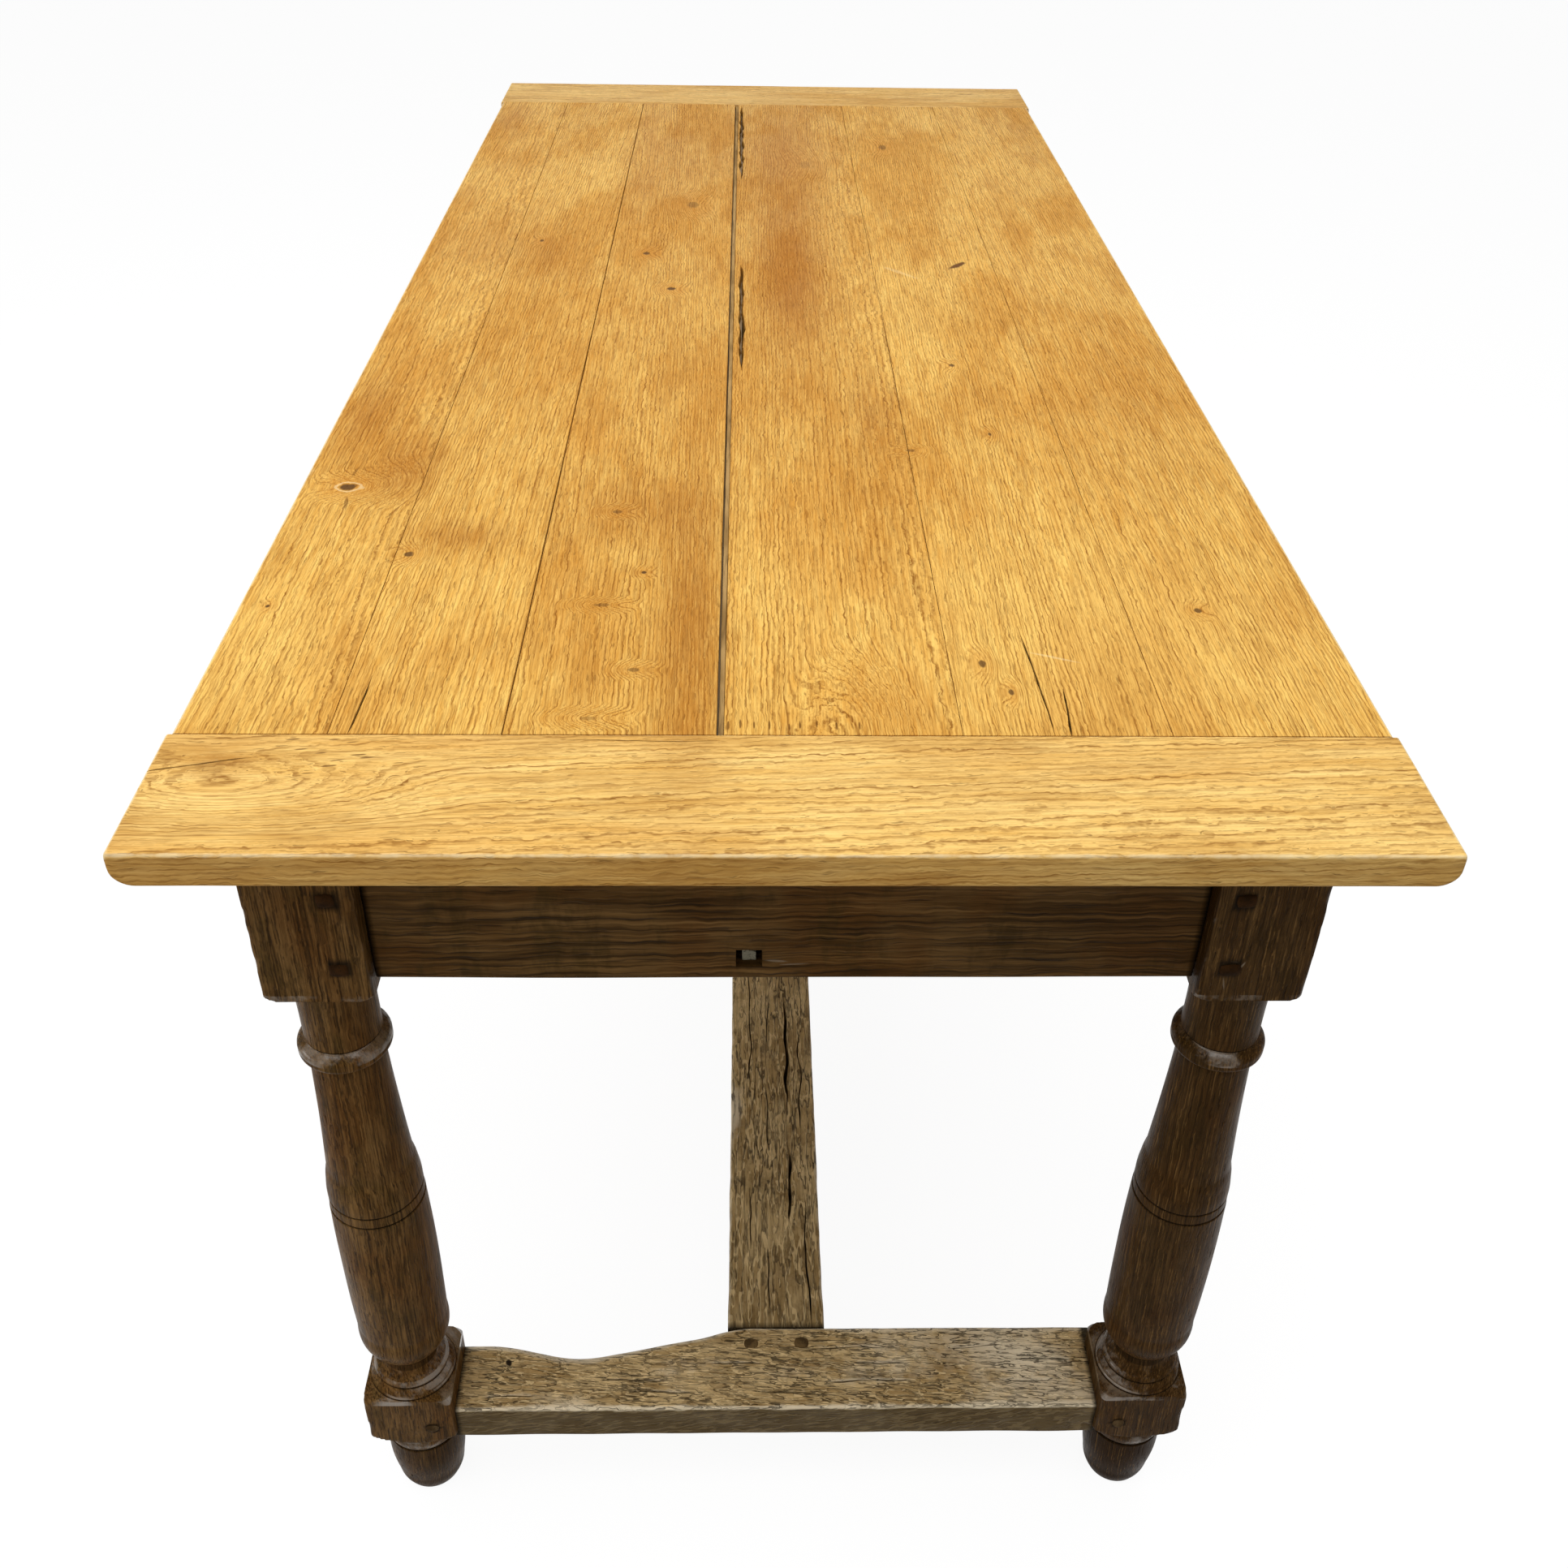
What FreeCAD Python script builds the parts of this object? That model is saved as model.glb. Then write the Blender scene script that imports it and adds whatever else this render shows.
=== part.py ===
import FreeCAD, Part
import math
import os

Vec = FreeCAD.Vector

# An old oak farmhouse table: plank top with end caps, turned legs, pegged frame, H stretcher.
# X runs across the table, Y along it with the near end at minus Y, and Z up from the floor.
# All sizes are in millimetres.

# Overall
table_height = 760.0
top_length = 1940.0
top_width = 800.0
top_thickness = 25.0
side_overhang = 56.0
end_overhang = 38.0
fit = 0.2

# Top boards from left to right as sawn, and the joints between them
sawn_widths = (99.5, 111.5, 138.5, 155.5, 137.0, 145.0)
tight_gap = 0.4
open_gap = 4.5
open_joint = 2
first_joint_drift = 2.0
top_arris = 2.5
under_round = 14.0

# Loose tongues in the edges of the boards, and the strip let into the opened joint
tongue_thickness = 6.0
tongue_reach = 9.0
tongue_drop = 7.0
filler_width = 3.4
filler_drop = 2.0

# End caps, and the tongues of the boards that enter them
cap_width = 125.0
cap_overrun = 3.5
end_tongue_length = 28.0
end_tongue_thickness = 8.0
end_tongue_play = 1.0
cap_groove_stop = 14.0
cap_peg_size = 8.0
cap_peg_inset = 14.0
cap_peg_cover = 6.0

# Legs: a round stretch of the lathe work is cut in flats that each turn by about this angle
flat_angle = math.radians(36)
slight_turn = math.radians(10)

# Legs: square blocks
leg_block = 73.0
upper_block_height = 129.0
lower_block_height = 68.0
block_edge = 2.0
pommel_height = 16.0
pommel_inset = 13.0
shoulder_height = 6.0
shoulder_inset = 4.0

# Legs: turned foot
foot_height = 82.0
foot_bottom_radius = 24.0
foot_radius = 34.0
foot_swell_height = 42.0

# Legs: base mouldings, swelling column, ring and neck
base_height = 31.0
base_radius = 35.5
base_step = 5.5
bead_radius = 31.0
bead_height = 13.5
bead_bulge = 3.2
waist_radius = 23.0
column_round_height = 45.0
column_round_bulge = 3.0
column_radius = 36.8
band_height = 8.0
band_radius = 35.8
scribe_depth = 1.1
scribe_width = 1.8
column_shoulder = 34.0
shoulder_bulge = 0.5
stem_foot_radius = 32.0
stem_top_radius = 26.4
stem_height = 114.0
stem_hollow = 0.5
ring_height = 18.0
ring_bulge = 6.2
neck_radius = 27.6
neck_height = 59.0

# Aprons and their tenons
apron_height = 120.0
apron_thickness = 25.0
apron_setback = 12.0
tenon_thickness = 9.0
tenon_web = 2.0
tenon_top_shoulder = 14.0
tenon_bottom_shoulder = 6.0
mortise_room = 1.0

# Pegs, split and shaved square
peg_size = 10.0
peg_proud = 0.8
peg_tip = 1.2
peg_inset = 19.0
peg_grip = 8.0
upper_peg_drop = 42.0
lower_peg_rise = 19.0

# Old slot in the near end apron, and the plug left in it
slot_width = 17.0
slot_height = 10.5
slot_depth = 14.0
slot_offset = -25.0
slot_rise = 18.0
plug_width = 11.0
plug_sunk = 2.0

# End stretchers
stretcher_thickness = 40.0
stretcher_width = 79.0
stretcher_setback = 7.0
stretcher_rise = 5.0
stretcher_arris = 3.0
foot_tenon_width = 46.0
foot_tenon_height = 22.0
foot_tenon_length = 40.0
foot_tenon_drop = 4.0
wane_start = 46.0
wane_deepest = 181.0
wane_depth = 24.0
wane_at_leg = 8.0

# Centre stretcher
spine_width = 86.0
spine_thickness = 36.0
spine_drop = 1.0
spine_arris = 4.0
spine_tenon_length = 45.0
spine_tenon_width = 62.0
spine_tenon_height = 14.0
spine_peg_spread = 44.0
spine_peg_inset = 16.0
spine_peg_cover = 6.0

# Bearer under the middle of the top
bearer_width = 60.0
bearer_height = 25.0
dovetail_length = 12.0
dovetail_flare = 7.0

# Buttons that hold the top to the side aprons
buttons_per_half = 2
button_length = 58.0
button_width = 38.0
button_thickness = 20.0
button_tongue = 9.0
button_tongue_thickness = 10.0

# Square wrought nails that hold the buttons and the bearer to the boards
nail_size = 4.0
nail_head = 11.0
nail_head_height = 2.5
nail_head_bevel = 2.0
nail_tip_cover = 1.5
button_nail_inset = 40.0

# Places worked out from the sizes above
gaps = [open_gap if joint == open_joint else tight_gap for joint in range(len(sawn_widths) - 1)]
field_width = top_width - 2 * cap_overrun
trim = (sum(sawn_widths) + sum(gaps) - field_width) / len(sawn_widths)
board_widths = [width - trim for width in sawn_widths]
half_length = top_length / 2
cap_inner = half_length - cap_width
field_end = cap_inner - tight_gap
frame_top = table_height - top_thickness
half_block = leg_block / 2
leg_x = top_width / 2 - side_overhang - half_block
leg_y = half_length - end_overhang - half_block
upper_block_bottom = frame_top - upper_block_height
lower_block_top = foot_height + lower_block_height
apron_bottom = frame_top - apron_height
apron_depth_in_leg = apron_setback + apron_thickness / 2
tenon_far_side = apron_depth_in_leg + tenon_thickness / 2
tenon_length = leg_block - tenon_far_side - tenon_web
side_apron_x = leg_x + half_block - apron_depth_in_leg
end_apron_y = leg_y + half_block - apron_depth_in_leg
apron_inner_x = side_apron_x - apron_thickness / 2
peg_length = tenon_far_side + peg_grip + peg_proud
peg_heights = (apron_bottom + lower_peg_rise, frame_top - upper_peg_drop)
stretcher_peg_length = half_block + foot_tenon_width / 2 + peg_proud
spine_peg_length = stretcher_thickness - spine_peg_cover + peg_proud
stretcher_bottom = foot_height + stretcher_rise
stretcher_top = stretcher_bottom + stretcher_thickness
stretcher_front = leg_y + half_block - stretcher_setback
stretcher_back = stretcher_front - stretcher_width
foot_tenon_top = stretcher_top - foot_tenon_drop
spine_top = stretcher_top - spine_drop
tongue_top = table_height - tongue_drop
nail_bite = top_thickness - tongue_drop - tongue_thickness - fit - nail_tip_cover
end_tongue_bottom = frame_top + (top_thickness - end_tongue_thickness) / 2


def block(x_pair, y_pair, z_pair):
    """A box between two values on each axis, in either order."""
    low = Vec(min(x_pair), min(y_pair), min(z_pair))
    high = Vec(max(x_pair), max(y_pair), max(z_pair))
    size = high - low
    return Part.makeBox(size.x, size.y, size.z, low)


def slab(corners, z_pair):
    """A flat piece with straight sides, given its corners in plan."""
    points = [Vec(x, y, z_pair[0]) for x, y in corners]
    face = Part.Face(Part.makePolygon(points + points[:1]))
    return face.extrude(Vec(0, 0, z_pair[1] - z_pair[0]))


def strip(near_x, far_x, half_width, end, z_pair):
    """A strip of even width that follows a joint line from the near end to the far end."""
    corners = [
        (near_x - half_width, -end),
        (near_x + half_width, -end),
        (far_x + half_width, end),
        (far_x - half_width, end),
    ]
    return slab(corners, z_pair)


def square_bar(size, start, length):
    """A square bar along Z."""
    half = size / 2
    return block((-half, half), (-half, half), (start, start + length))


def placed(shape, base, direction):
    """Turn a shape made along Z to another direction, and move it to its base point."""
    shape.Placement = FreeCAD.Placement(base, FreeCAD.Rotation(Vec(0, 0, 1), direction))
    return shape


def peg(length, base, direction):
    """A peg driven in from base along direction, with the edge of its head knocked off."""
    body = square_bar(peg_size, 0, length)
    return placed(bevelled(body, peg_tip, lambda p: near(p.z, 0)), base, direction)


def peg_hole(length, base, direction):
    """The hole for a peg, open a little way in front of base."""
    return placed(square_bar(peg_size + 2 * fit, -peg_tip, peg_tip + length + fit), base, direction)


def nail(base, length):
    """A square nail driven up from base, with its head below."""
    head = square_bar(nail_head, -nail_head_height, nail_head_height)
    head = bevelled(head, nail_head_bevel, lambda p: near(p.z, -nail_head_height))
    return head.fuse(square_bar(nail_size, 0, length)).removeSplitter().translated(base)


def nail_hole(base, length):
    """The hole that the shank of a nail fills, with room around it."""
    return square_bar(nail_size + 2 * fit, 0, length + fit).translated(base)


def rounded(shape, radius, chosen):
    """Round the edges whose middle point passes a test."""
    return shape.makeFillet(radius, [edge for edge in shape.Edges if chosen(edge.CenterOfMass)])


def bevelled(shape, size, chosen):
    """Bevel the edges whose middle point passes a test."""
    return shape.makeChamfer(size, [edge for edge in shape.Edges if chosen(edge.CenterOfMass)])


def near(value, target):
    return abs(value - target) < 0.01


def round_stretch(here, there, bulge):
    """Edges of a lathe outline that swell by bulge between two points."""
    run = there - here
    outward = Vec(run.z, 0, -run.x).normalize()
    arc = Part.Arc(here, (here + there) * 0.5 + outward * bulge, there)
    turn = 4 * math.atan(2 * abs(bulge) / run.Length)
    if turn < slight_turn:
        return [arc.toShape()]
    flats = max(2, round(turn / flat_angle))
    return Part.makePolygon(arc.discretize(flats + 1)).Edges


def turned(start, *steps):
    """Turn an outline round Z. A step is (radius, height), or (radius, height, bulge) for an arc."""
    edges = []
    first = Vec(start[0], 0, start[1])
    here = first
    for step in steps:
        there = Vec(step[0], 0, step[1])
        if len(step) == 3:
            edges.extend(round_stretch(here, there, step[2]))
        else:
            edges.append(Part.makeLine(here, there))
        here = there
    edges.append(Part.makeLine(here, first))
    return Part.Face(Part.Wire(edges)).revolve(Vec(0, 0, 0), Vec(0, 0, 1), 360)


def board_places():
    """For each board, its left and right edge at the near end and at the far end."""
    places = []
    left = -field_width / 2
    for index, width in enumerate(board_widths):
        right = left + width
        left_drift = first_joint_drift if index == 1 else 0.0
        right_drift = first_joint_drift if index == 0 else 0.0
        places.append((left, left - left_drift, right, right - right_drift))
        left = right + (gaps[index] if index < len(gaps) else 0.0)
    return places


def joint_places():
    """For each joint between boards, the middle of its gap at the near end and at the far end."""
    places = board_places()
    joints = []
    for index, gap in enumerate(gaps):
        right = places[index]
        joints.append((right[2] + gap / 2, right[3] + gap / 2))
    return joints


def board_middle(place):
    """The middle of a board halfway along the table."""
    return sum(place) / 4


def board_end_middle(place, side):
    """The middle of a board at the near end (side -1) or the far end (side 1)."""
    return (place[0] + place[2]) / 2 if side < 0 else (place[1] + place[3]) / 2


def edge_groove(joint, gap, clearance):
    """The space for a loose tongue, or the tongue itself where the clearance is negative."""
    half_width = gap / 2 + tongue_reach + clearance
    z_pair = (tongue_top - tongue_thickness - clearance, tongue_top + clearance)
    return strip(joint[0], joint[1], half_width, field_end, z_pair)


def button_rows():
    """Places along the table of the buttons on one side apron."""
    start = bearer_width / 2
    pitch = (leg_y - half_block - start) / buttons_per_half
    places = [start + (index + 0.5) * pitch for index in range(buttons_per_half)]
    return [-y for y in places] + places


def button_nail_bases(side):
    """Where the nails of the buttons on one side start."""
    x = side * (apron_inner_x - button_nail_inset)
    return [Vec(x, y, frame_top - button_thickness) for y in button_rows()]


def bearer_nail_bases():
    """One nail under the middle of each board that lies between the side aprons."""
    middles = [board_middle(place) for place in board_places()]
    reach = apron_inner_x - nail_head
    return [Vec(x, 0, frame_top - bearer_height) for x in middles if abs(x) < reach]


def cap_peg(place, side, clearance):
    """The blind square peg of a board in an end cap, or its hole where there is a clearance."""
    base = Vec(board_end_middle(place, side), side * (cap_inner + cap_peg_inset), frame_top)
    length = top_thickness - cap_peg_cover
    return square_bar(cap_peg_size + 2 * clearance, 0, length + clearance).translated(base)


def top_board(index):
    place = board_places()[index]
    corners = [(place[0], -field_end), (place[2], -field_end), (place[3], field_end), (place[1], field_end)]
    board = slab(corners, (frame_top, table_height))
    outer = field_width / 2
    if index in (0, len(board_widths) - 1):
        side = -1 if index == 0 else 1
        board = bevelled(board, top_arris, lambda p: near(p.x, side * outer) and near(p.z, table_height))
        board = rounded(board, under_round, lambda p: near(p.x, side * outer) and near(p.z, frame_top))
    groove_reach = top_width / 2 - cap_groove_stop - fit
    tongue_z = (end_tongue_bottom, end_tongue_bottom + end_tongue_thickness)
    for side in (-1, 1):
        left, right = (place[0], place[2]) if side < 0 else (place[1], place[3])
        x_pair = (max(left, -groove_reach), min(right, groove_reach))
        y_pair = (side * field_end, side * (field_end + end_tongue_length))
        board = board.fuse(block(x_pair, y_pair, tongue_z))
        board = board.cut(cap_peg(place, side, fit))
    for joint, gap in zip(joint_places(), gaps):
        board = board.cut(edge_groove(joint, gap, fit))
    for base in bearer_nail_bases():
        board = board.cut(nail_hole(base, bearer_height + nail_bite))
    for base in button_nail_bases(-1) + button_nail_bases(1):
        board = board.cut(nail_hole(base, button_thickness + nail_bite))
    return board.removeSplitter()


def top_tongue(index):
    return edge_groove(joint_places()[index], gaps[index], -fit / 2)


def joint_filler():
    """A thin strip that stands on the tongue in the opened joint, against the right-hand board."""
    joint = joint_places()[open_joint]
    shift = (open_gap - filler_width) / 2
    z_pair = (tongue_top - fit / 2, table_height - filler_drop)
    return strip(joint[0] + shift, joint[1] + shift, filler_width / 2, field_end, z_pair)


def end_cap(side):
    half_width = top_width / 2
    y_pair = (side * cap_inner, side * half_length)
    cap = block((-half_width, half_width), y_pair, (frame_top, table_height))
    cap = rounded(cap, under_round, lambda p: near(abs(p.x), half_width) and near(p.z, frame_top))
    cap = bevelled(cap, top_arris, lambda p: near(p.z, table_height) and not near(p.y, side * cap_inner))
    groove_reach = half_width - cap_groove_stop
    groove_y = (side * (cap_inner - fit), side * (cap_inner + end_tongue_length + end_tongue_play))
    groove_z = (end_tongue_bottom - fit, end_tongue_bottom + end_tongue_thickness + fit)
    cap = cap.cut(block((-groove_reach, groove_reach), groove_y, groove_z))
    for place in board_places():
        cap = cap.cut(cap_peg(place, side, fit))
    return cap


def cap_pegs(side):
    return Part.makeCompound([cap_peg(place, side, 0.0) for place in board_places()])


def square_block(bottom, top):
    """A square length of leg with its long corners taken off."""
    middle = (bottom + top) / 2
    return bevelled(square_bar(leg_block, bottom, top - bottom), block_edge, lambda p: near(p.z, middle))


def upper_block():
    """The block that takes the aprons, with the corners of its lower end turned away."""
    reach = half_block * math.sqrt(2)
    lathe = turned(
        (0, upper_block_bottom),
        (reach - shoulder_inset, upper_block_bottom),
        (reach, upper_block_bottom + shoulder_height),
        (reach, frame_top),
        (0, frame_top),
    )
    return square_block(upper_block_bottom, frame_top).common(lathe)


def lower_block():
    """The block that takes the end stretcher, with the corners of both ends turned away."""
    reach = half_block * math.sqrt(2)
    lathe = turned(
        (0, foot_height),
        (reach - pommel_inset, foot_height),
        (reach, foot_height + pommel_height),
        (reach, lower_block_top - shoulder_height),
        (reach - shoulder_inset, lower_block_top),
        (0, lower_block_top),
    )
    return square_block(foot_height, lower_block_top).common(lathe)


def turned_leg():
    """The lathe work of a leg, from the sole of the foot to the top of the upper block."""
    bead_bottom = lower_block_top + base_step
    column_bottom = lower_block_top + base_height
    belly_bottom = column_bottom + column_round_height
    ring_bottom = upper_block_bottom - neck_height - ring_height
    stem_bottom = ring_bottom - stem_height
    band_top = stem_bottom - column_shoulder
    band_bottom = band_top - band_height
    return turned(
        (0, 0),
        (foot_bottom_radius, 0),
        (foot_radius, foot_swell_height),
        (foot_radius, lower_block_top),
        (base_radius, lower_block_top),
        (bead_radius, bead_bottom),
        (waist_radius, bead_bottom + bead_height, bead_bulge),
        (waist_radius, column_bottom),
        (column_radius, belly_bottom, column_round_bulge),
        (column_radius, band_bottom - scribe_width),
        (column_radius - scribe_depth, band_bottom - scribe_width / 2),
        (band_radius, band_bottom),
        (band_radius, band_top),
        (band_radius - scribe_depth, band_top + scribe_width / 2),
        (band_radius, band_top + scribe_width),
        (stem_foot_radius, stem_bottom, shoulder_bulge),
        (stem_top_radius, ring_bottom, -stem_hollow),
        (stem_top_radius, ring_bottom + ring_height, ring_bulge),
        (neck_radius, ring_bottom + ring_height),
        (neck_radius, frame_top),
        (0, frame_top),
    )


def apron_tenon(shoulder, tip, across, clearance):
    """A tenon from its shoulder to its tip, or its mortise where there is a clearance."""
    z_pair = (apron_bottom + tenon_bottom_shoulder - clearance, frame_top - tenon_top_shoulder + clearance)
    half = tenon_thickness / 2 + clearance
    return (shoulder, tip), (across - half, across + half), z_pair


def end_tenon(sx, sy, clearance=0.0, room=0.0):
    """Tenon of an end apron in the leg on side sx at end sy."""
    shoulder = leg_x - half_block
    along, across, z_pair = apron_tenon(shoulder, shoulder + tenon_length + room, end_apron_y, clearance)
    return block([sx * x for x in along], [sy * y for y in across], z_pair)


def side_tenon(sx, sy, clearance=0.0, room=0.0):
    """Tenon of a side apron in the leg on side sx at end sy."""
    shoulder = leg_y - half_block
    along, across, z_pair = apron_tenon(shoulder, shoulder + tenon_length + room, side_apron_x, clearance)
    return block([sx * x for x in across], [sy * y for y in along], z_pair)


def foot_tenon(sx, sy, clearance=0.0, room=0.0):
    """Tenon of an end stretcher in the lower block of a leg."""
    shoulder = leg_x - half_block
    x_pair = [sx * shoulder, sx * (shoulder + foot_tenon_length + room)]
    half = foot_tenon_width / 2 + clearance
    y_pair = [sy * leg_y - half, sy * leg_y + half]
    z_pair = [foot_tenon_top - foot_tenon_height - clearance, foot_tenon_top + clearance]
    return block(x_pair, y_pair, z_pair)


def spine_tenon(sy, clearance=0.0, room=0.0):
    """Tenon of the centre stretcher in an end stretcher."""
    half = spine_tenon_width / 2 + clearance
    middle = spine_top - spine_thickness / 2
    y_pair = [sy * stretcher_back, sy * (stretcher_back + spine_tenon_length + room)]
    z_pair = [middle - spine_tenon_height / 2 - clearance, middle + spine_tenon_height / 2 + clearance]
    return block([-half, half], y_pair, z_pair)


def apron_peg_places(sx, sy):
    """Base points and directions of the four pegs in the upper block of a leg."""
    places = []
    inset = half_block - peg_inset
    face = half_block + peg_proud
    for height in peg_heights:
        places.append((Vec(sx * (leg_x - inset), sy * (leg_y + face), height), Vec(0, -sy, 0)))
        places.append((Vec(sx * (leg_x + face), sy * (leg_y - inset), height), Vec(-sx, 0, 0)))
    return places


def stretcher_peg_place(sx, sy):
    """Base point and direction of the peg in the lower block of a leg."""
    height = foot_tenon_top - foot_tenon_height / 2
    base = Vec(sx * (leg_x - half_block + peg_inset), sy * (leg_y + half_block + peg_proud), height)
    return base, Vec(0, -sy, 0)


def spine_peg_places(sy):
    """Base points and direction of the two pegs through the tenon of the centre stretcher."""
    y = sy * (stretcher_back + spine_peg_inset)
    spread = spine_peg_spread / 2
    return [(Vec(x, y, stretcher_top + peg_proud), Vec(0, 0, -1)) for x in (-spread, spread)]


def leg(sx, sy):
    body = turned_leg().fuse([lower_block(), upper_block()]).removeSplitter()
    body.translate(Vec(sx * leg_x, sy * leg_y, 0))
    body = body.cut(end_tenon(sx, sy, fit, mortise_room))
    body = body.cut(side_tenon(sx, sy, fit, mortise_room))
    body = body.cut(foot_tenon(sx, sy, fit, mortise_room))
    for base, direction in apron_peg_places(sx, sy):
        body = body.cut(peg_hole(peg_length, base, direction))
    base, direction = stretcher_peg_place(sx, sy)
    return body.cut(peg_hole(stretcher_peg_length, base, direction))


def apron_pegs(sx, sy):
    return Part.makeCompound([peg(peg_length, *place) for place in apron_peg_places(sx, sy)])


def stretcher_pegs(sy):
    places = [stretcher_peg_place(sx, sy) for sx in (-1, 1)]
    return Part.makeCompound([peg(stretcher_peg_length, *place) for place in places])


def spine_pegs(sy):
    return Part.makeCompound([peg(spine_peg_length, *place) for place in spine_peg_places(sy)])


def end_apron(sy):
    reach = leg_x - half_block
    y_pair = (sy * (end_apron_y - apron_thickness / 2), sy * (end_apron_y + apron_thickness / 2))
    apron = block((-reach, reach), y_pair, (apron_bottom, frame_top))
    for sx in (-1, 1):
        apron = apron.fuse(end_tenon(sx, sy))
        for base, direction in apron_peg_places(sx, sy)[0::2]:
            apron = apron.cut(peg_hole(peg_length, base, direction))
    if sy < 0:
        apron = apron.cut(old_slot(slot_width, 0.0))
    return apron.removeSplitter()


def old_slot(width, sunk):
    """The old slot in the near end apron, or the plug in it where it is sunk below the face."""
    face = -(end_apron_y + apron_thickness / 2)
    bottom = apron_bottom + slot_rise - slot_height / 2
    x_pair = (slot_offset - width / 2, slot_offset + width / 2)
    return block(x_pair, (face + sunk, face + slot_depth), (bottom, bottom + slot_height))


def apron_plug():
    return old_slot(plug_width, plug_sunk)


def dovetail(side, clearance):
    """The flared end of the bearer, or its housing where there is a clearance."""
    neck = bearer_width / 2 - dovetail_flare + clearance
    flare = bearer_width / 2 + clearance
    shoulder = side * (apron_inner_x - clearance)
    tip = side * (apron_inner_x + dovetail_length + clearance)
    corners = [(shoulder, -neck), (tip, -flare), (tip, flare), (shoulder, neck)]
    return slab(corners, (frame_top - bearer_height - clearance, frame_top))


def button_slot(side, y):
    bottom = frame_top - button_thickness
    x_pair = (side * (apron_inner_x - fit), side * (apron_inner_x + button_tongue + mortise_room))
    half = button_width / 2 + mortise_room
    return block(x_pair, (y - half, y + half), (bottom - fit, bottom + button_tongue_thickness))


def side_apron(sx):
    reach = leg_y - half_block
    x_pair = (sx * apron_inner_x, sx * (apron_inner_x + apron_thickness))
    apron = block(x_pair, (-reach, reach), (apron_bottom, frame_top))
    for sy in (-1, 1):
        apron = apron.fuse(side_tenon(sx, sy))
        for base, direction in apron_peg_places(sx, sy)[1::2]:
            apron = apron.cut(peg_hole(peg_length, base, direction))
    for y in button_rows():
        apron = apron.cut(button_slot(sx, y))
    return apron.cut(dovetail(sx, fit)).removeSplitter()


def top_bearer():
    half = bearer_width / 2
    z_pair = (frame_top - bearer_height, frame_top)
    bearer = block((-apron_inner_x, apron_inner_x), (-half, half), z_pair)
    bearer = bearer.fuse([dovetail(-1, 0.0), dovetail(1, 0.0)])
    for base in bearer_nail_bases():
        bearer = bearer.cut(nail_hole(base, bearer_height + nail_bite))
    return bearer.removeSplitter()


def bearer_nails():
    length = bearer_height + nail_bite
    return Part.makeCompound([nail(base, length) for base in bearer_nail_bases()])


def button(side, base):
    """The button around a nail that starts at base, with its tongue in the side apron."""
    y_pair = (base.y - button_width / 2, base.y + button_width / 2)
    x_pair = (side * (apron_inner_x - button_length), side * apron_inner_x)
    body = block(x_pair, y_pair, (base.z, frame_top))
    tongue_x = (side * apron_inner_x, side * (apron_inner_x + button_tongue))
    body = body.fuse(block(tongue_x, y_pair, (base.z, base.z + button_tongue_thickness)))
    return body.cut(nail_hole(base, button_thickness + nail_bite)).removeSplitter()


def buttons(side):
    return Part.makeCompound([button(side, base) for base in button_nail_bases(side)])


def button_nails():
    length = button_thickness + nail_bite
    bases = button_nail_bases(-1) + button_nail_bases(1)
    return Part.makeCompound([nail(base, length) for base in bases])


def stretcher_outline(sy):
    """Plan of an end stretcher. The near one keeps the wane of the log along part of its inner edge."""
    reach = leg_x - half_block
    front = sy * stretcher_front
    back = sy * stretcher_back
    left_back = Vec(-reach, back, stretcher_bottom)
    corners = [Vec(-reach, front, stretcher_bottom), Vec(reach, front, stretcher_bottom)]
    corners.append(Vec(reach, back, stretcher_bottom))
    if sy > 0:
        return Part.makePolygon(corners + [left_back, corners[0]])
    sound = Vec(-wane_start, back, stretcher_bottom)
    deepest = Vec(-wane_deepest, back - wane_depth, stretcher_bottom)
    at_leg = Vec(-reach, back - wane_at_leg, stretcher_bottom)
    wane = Part.Arc(sound, deepest, at_leg).toShape()
    straight = Part.makePolygon([at_leg] + corners + [sound])
    return Part.Wire(straight.Edges + [wane])


def end_stretcher(sy):
    stretcher = Part.Face(stretcher_outline(sy)).extrude(Vec(0, 0, stretcher_thickness))
    edge_y = sy * stretcher_front
    top = stretcher_top
    stretcher = bevelled(stretcher, stretcher_arris, lambda p: near(p.y, edge_y) and near(p.z, top))
    for sx in (-1, 1):
        stretcher = stretcher.fuse(foot_tenon(sx, sy))
        base, direction = stretcher_peg_place(sx, sy)
        stretcher = stretcher.cut(peg_hole(stretcher_peg_length, base, direction))
    stretcher = stretcher.cut(spine_tenon(sy, fit, mortise_room))
    for base, direction in spine_peg_places(sy):
        stretcher = stretcher.cut(peg_hole(spine_peg_length, base, direction))
    return stretcher.removeSplitter()


def centre_stretcher():
    half = spine_width / 2
    y_pair = (-stretcher_back, stretcher_back)
    spine = block((-half, half), y_pair, (spine_top - spine_thickness, spine_top))
    spine = bevelled(spine, spine_arris, lambda p: near(abs(p.x), half) and near(p.y, 0))
    for sy in (-1, 1):
        spine = spine.fuse(spine_tenon(sy))
        for base, direction in spine_peg_places(sy):
            spine = spine.cut(peg_hole(spine_peg_length, base, direction))
    return spine.removeSplitter()


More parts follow.
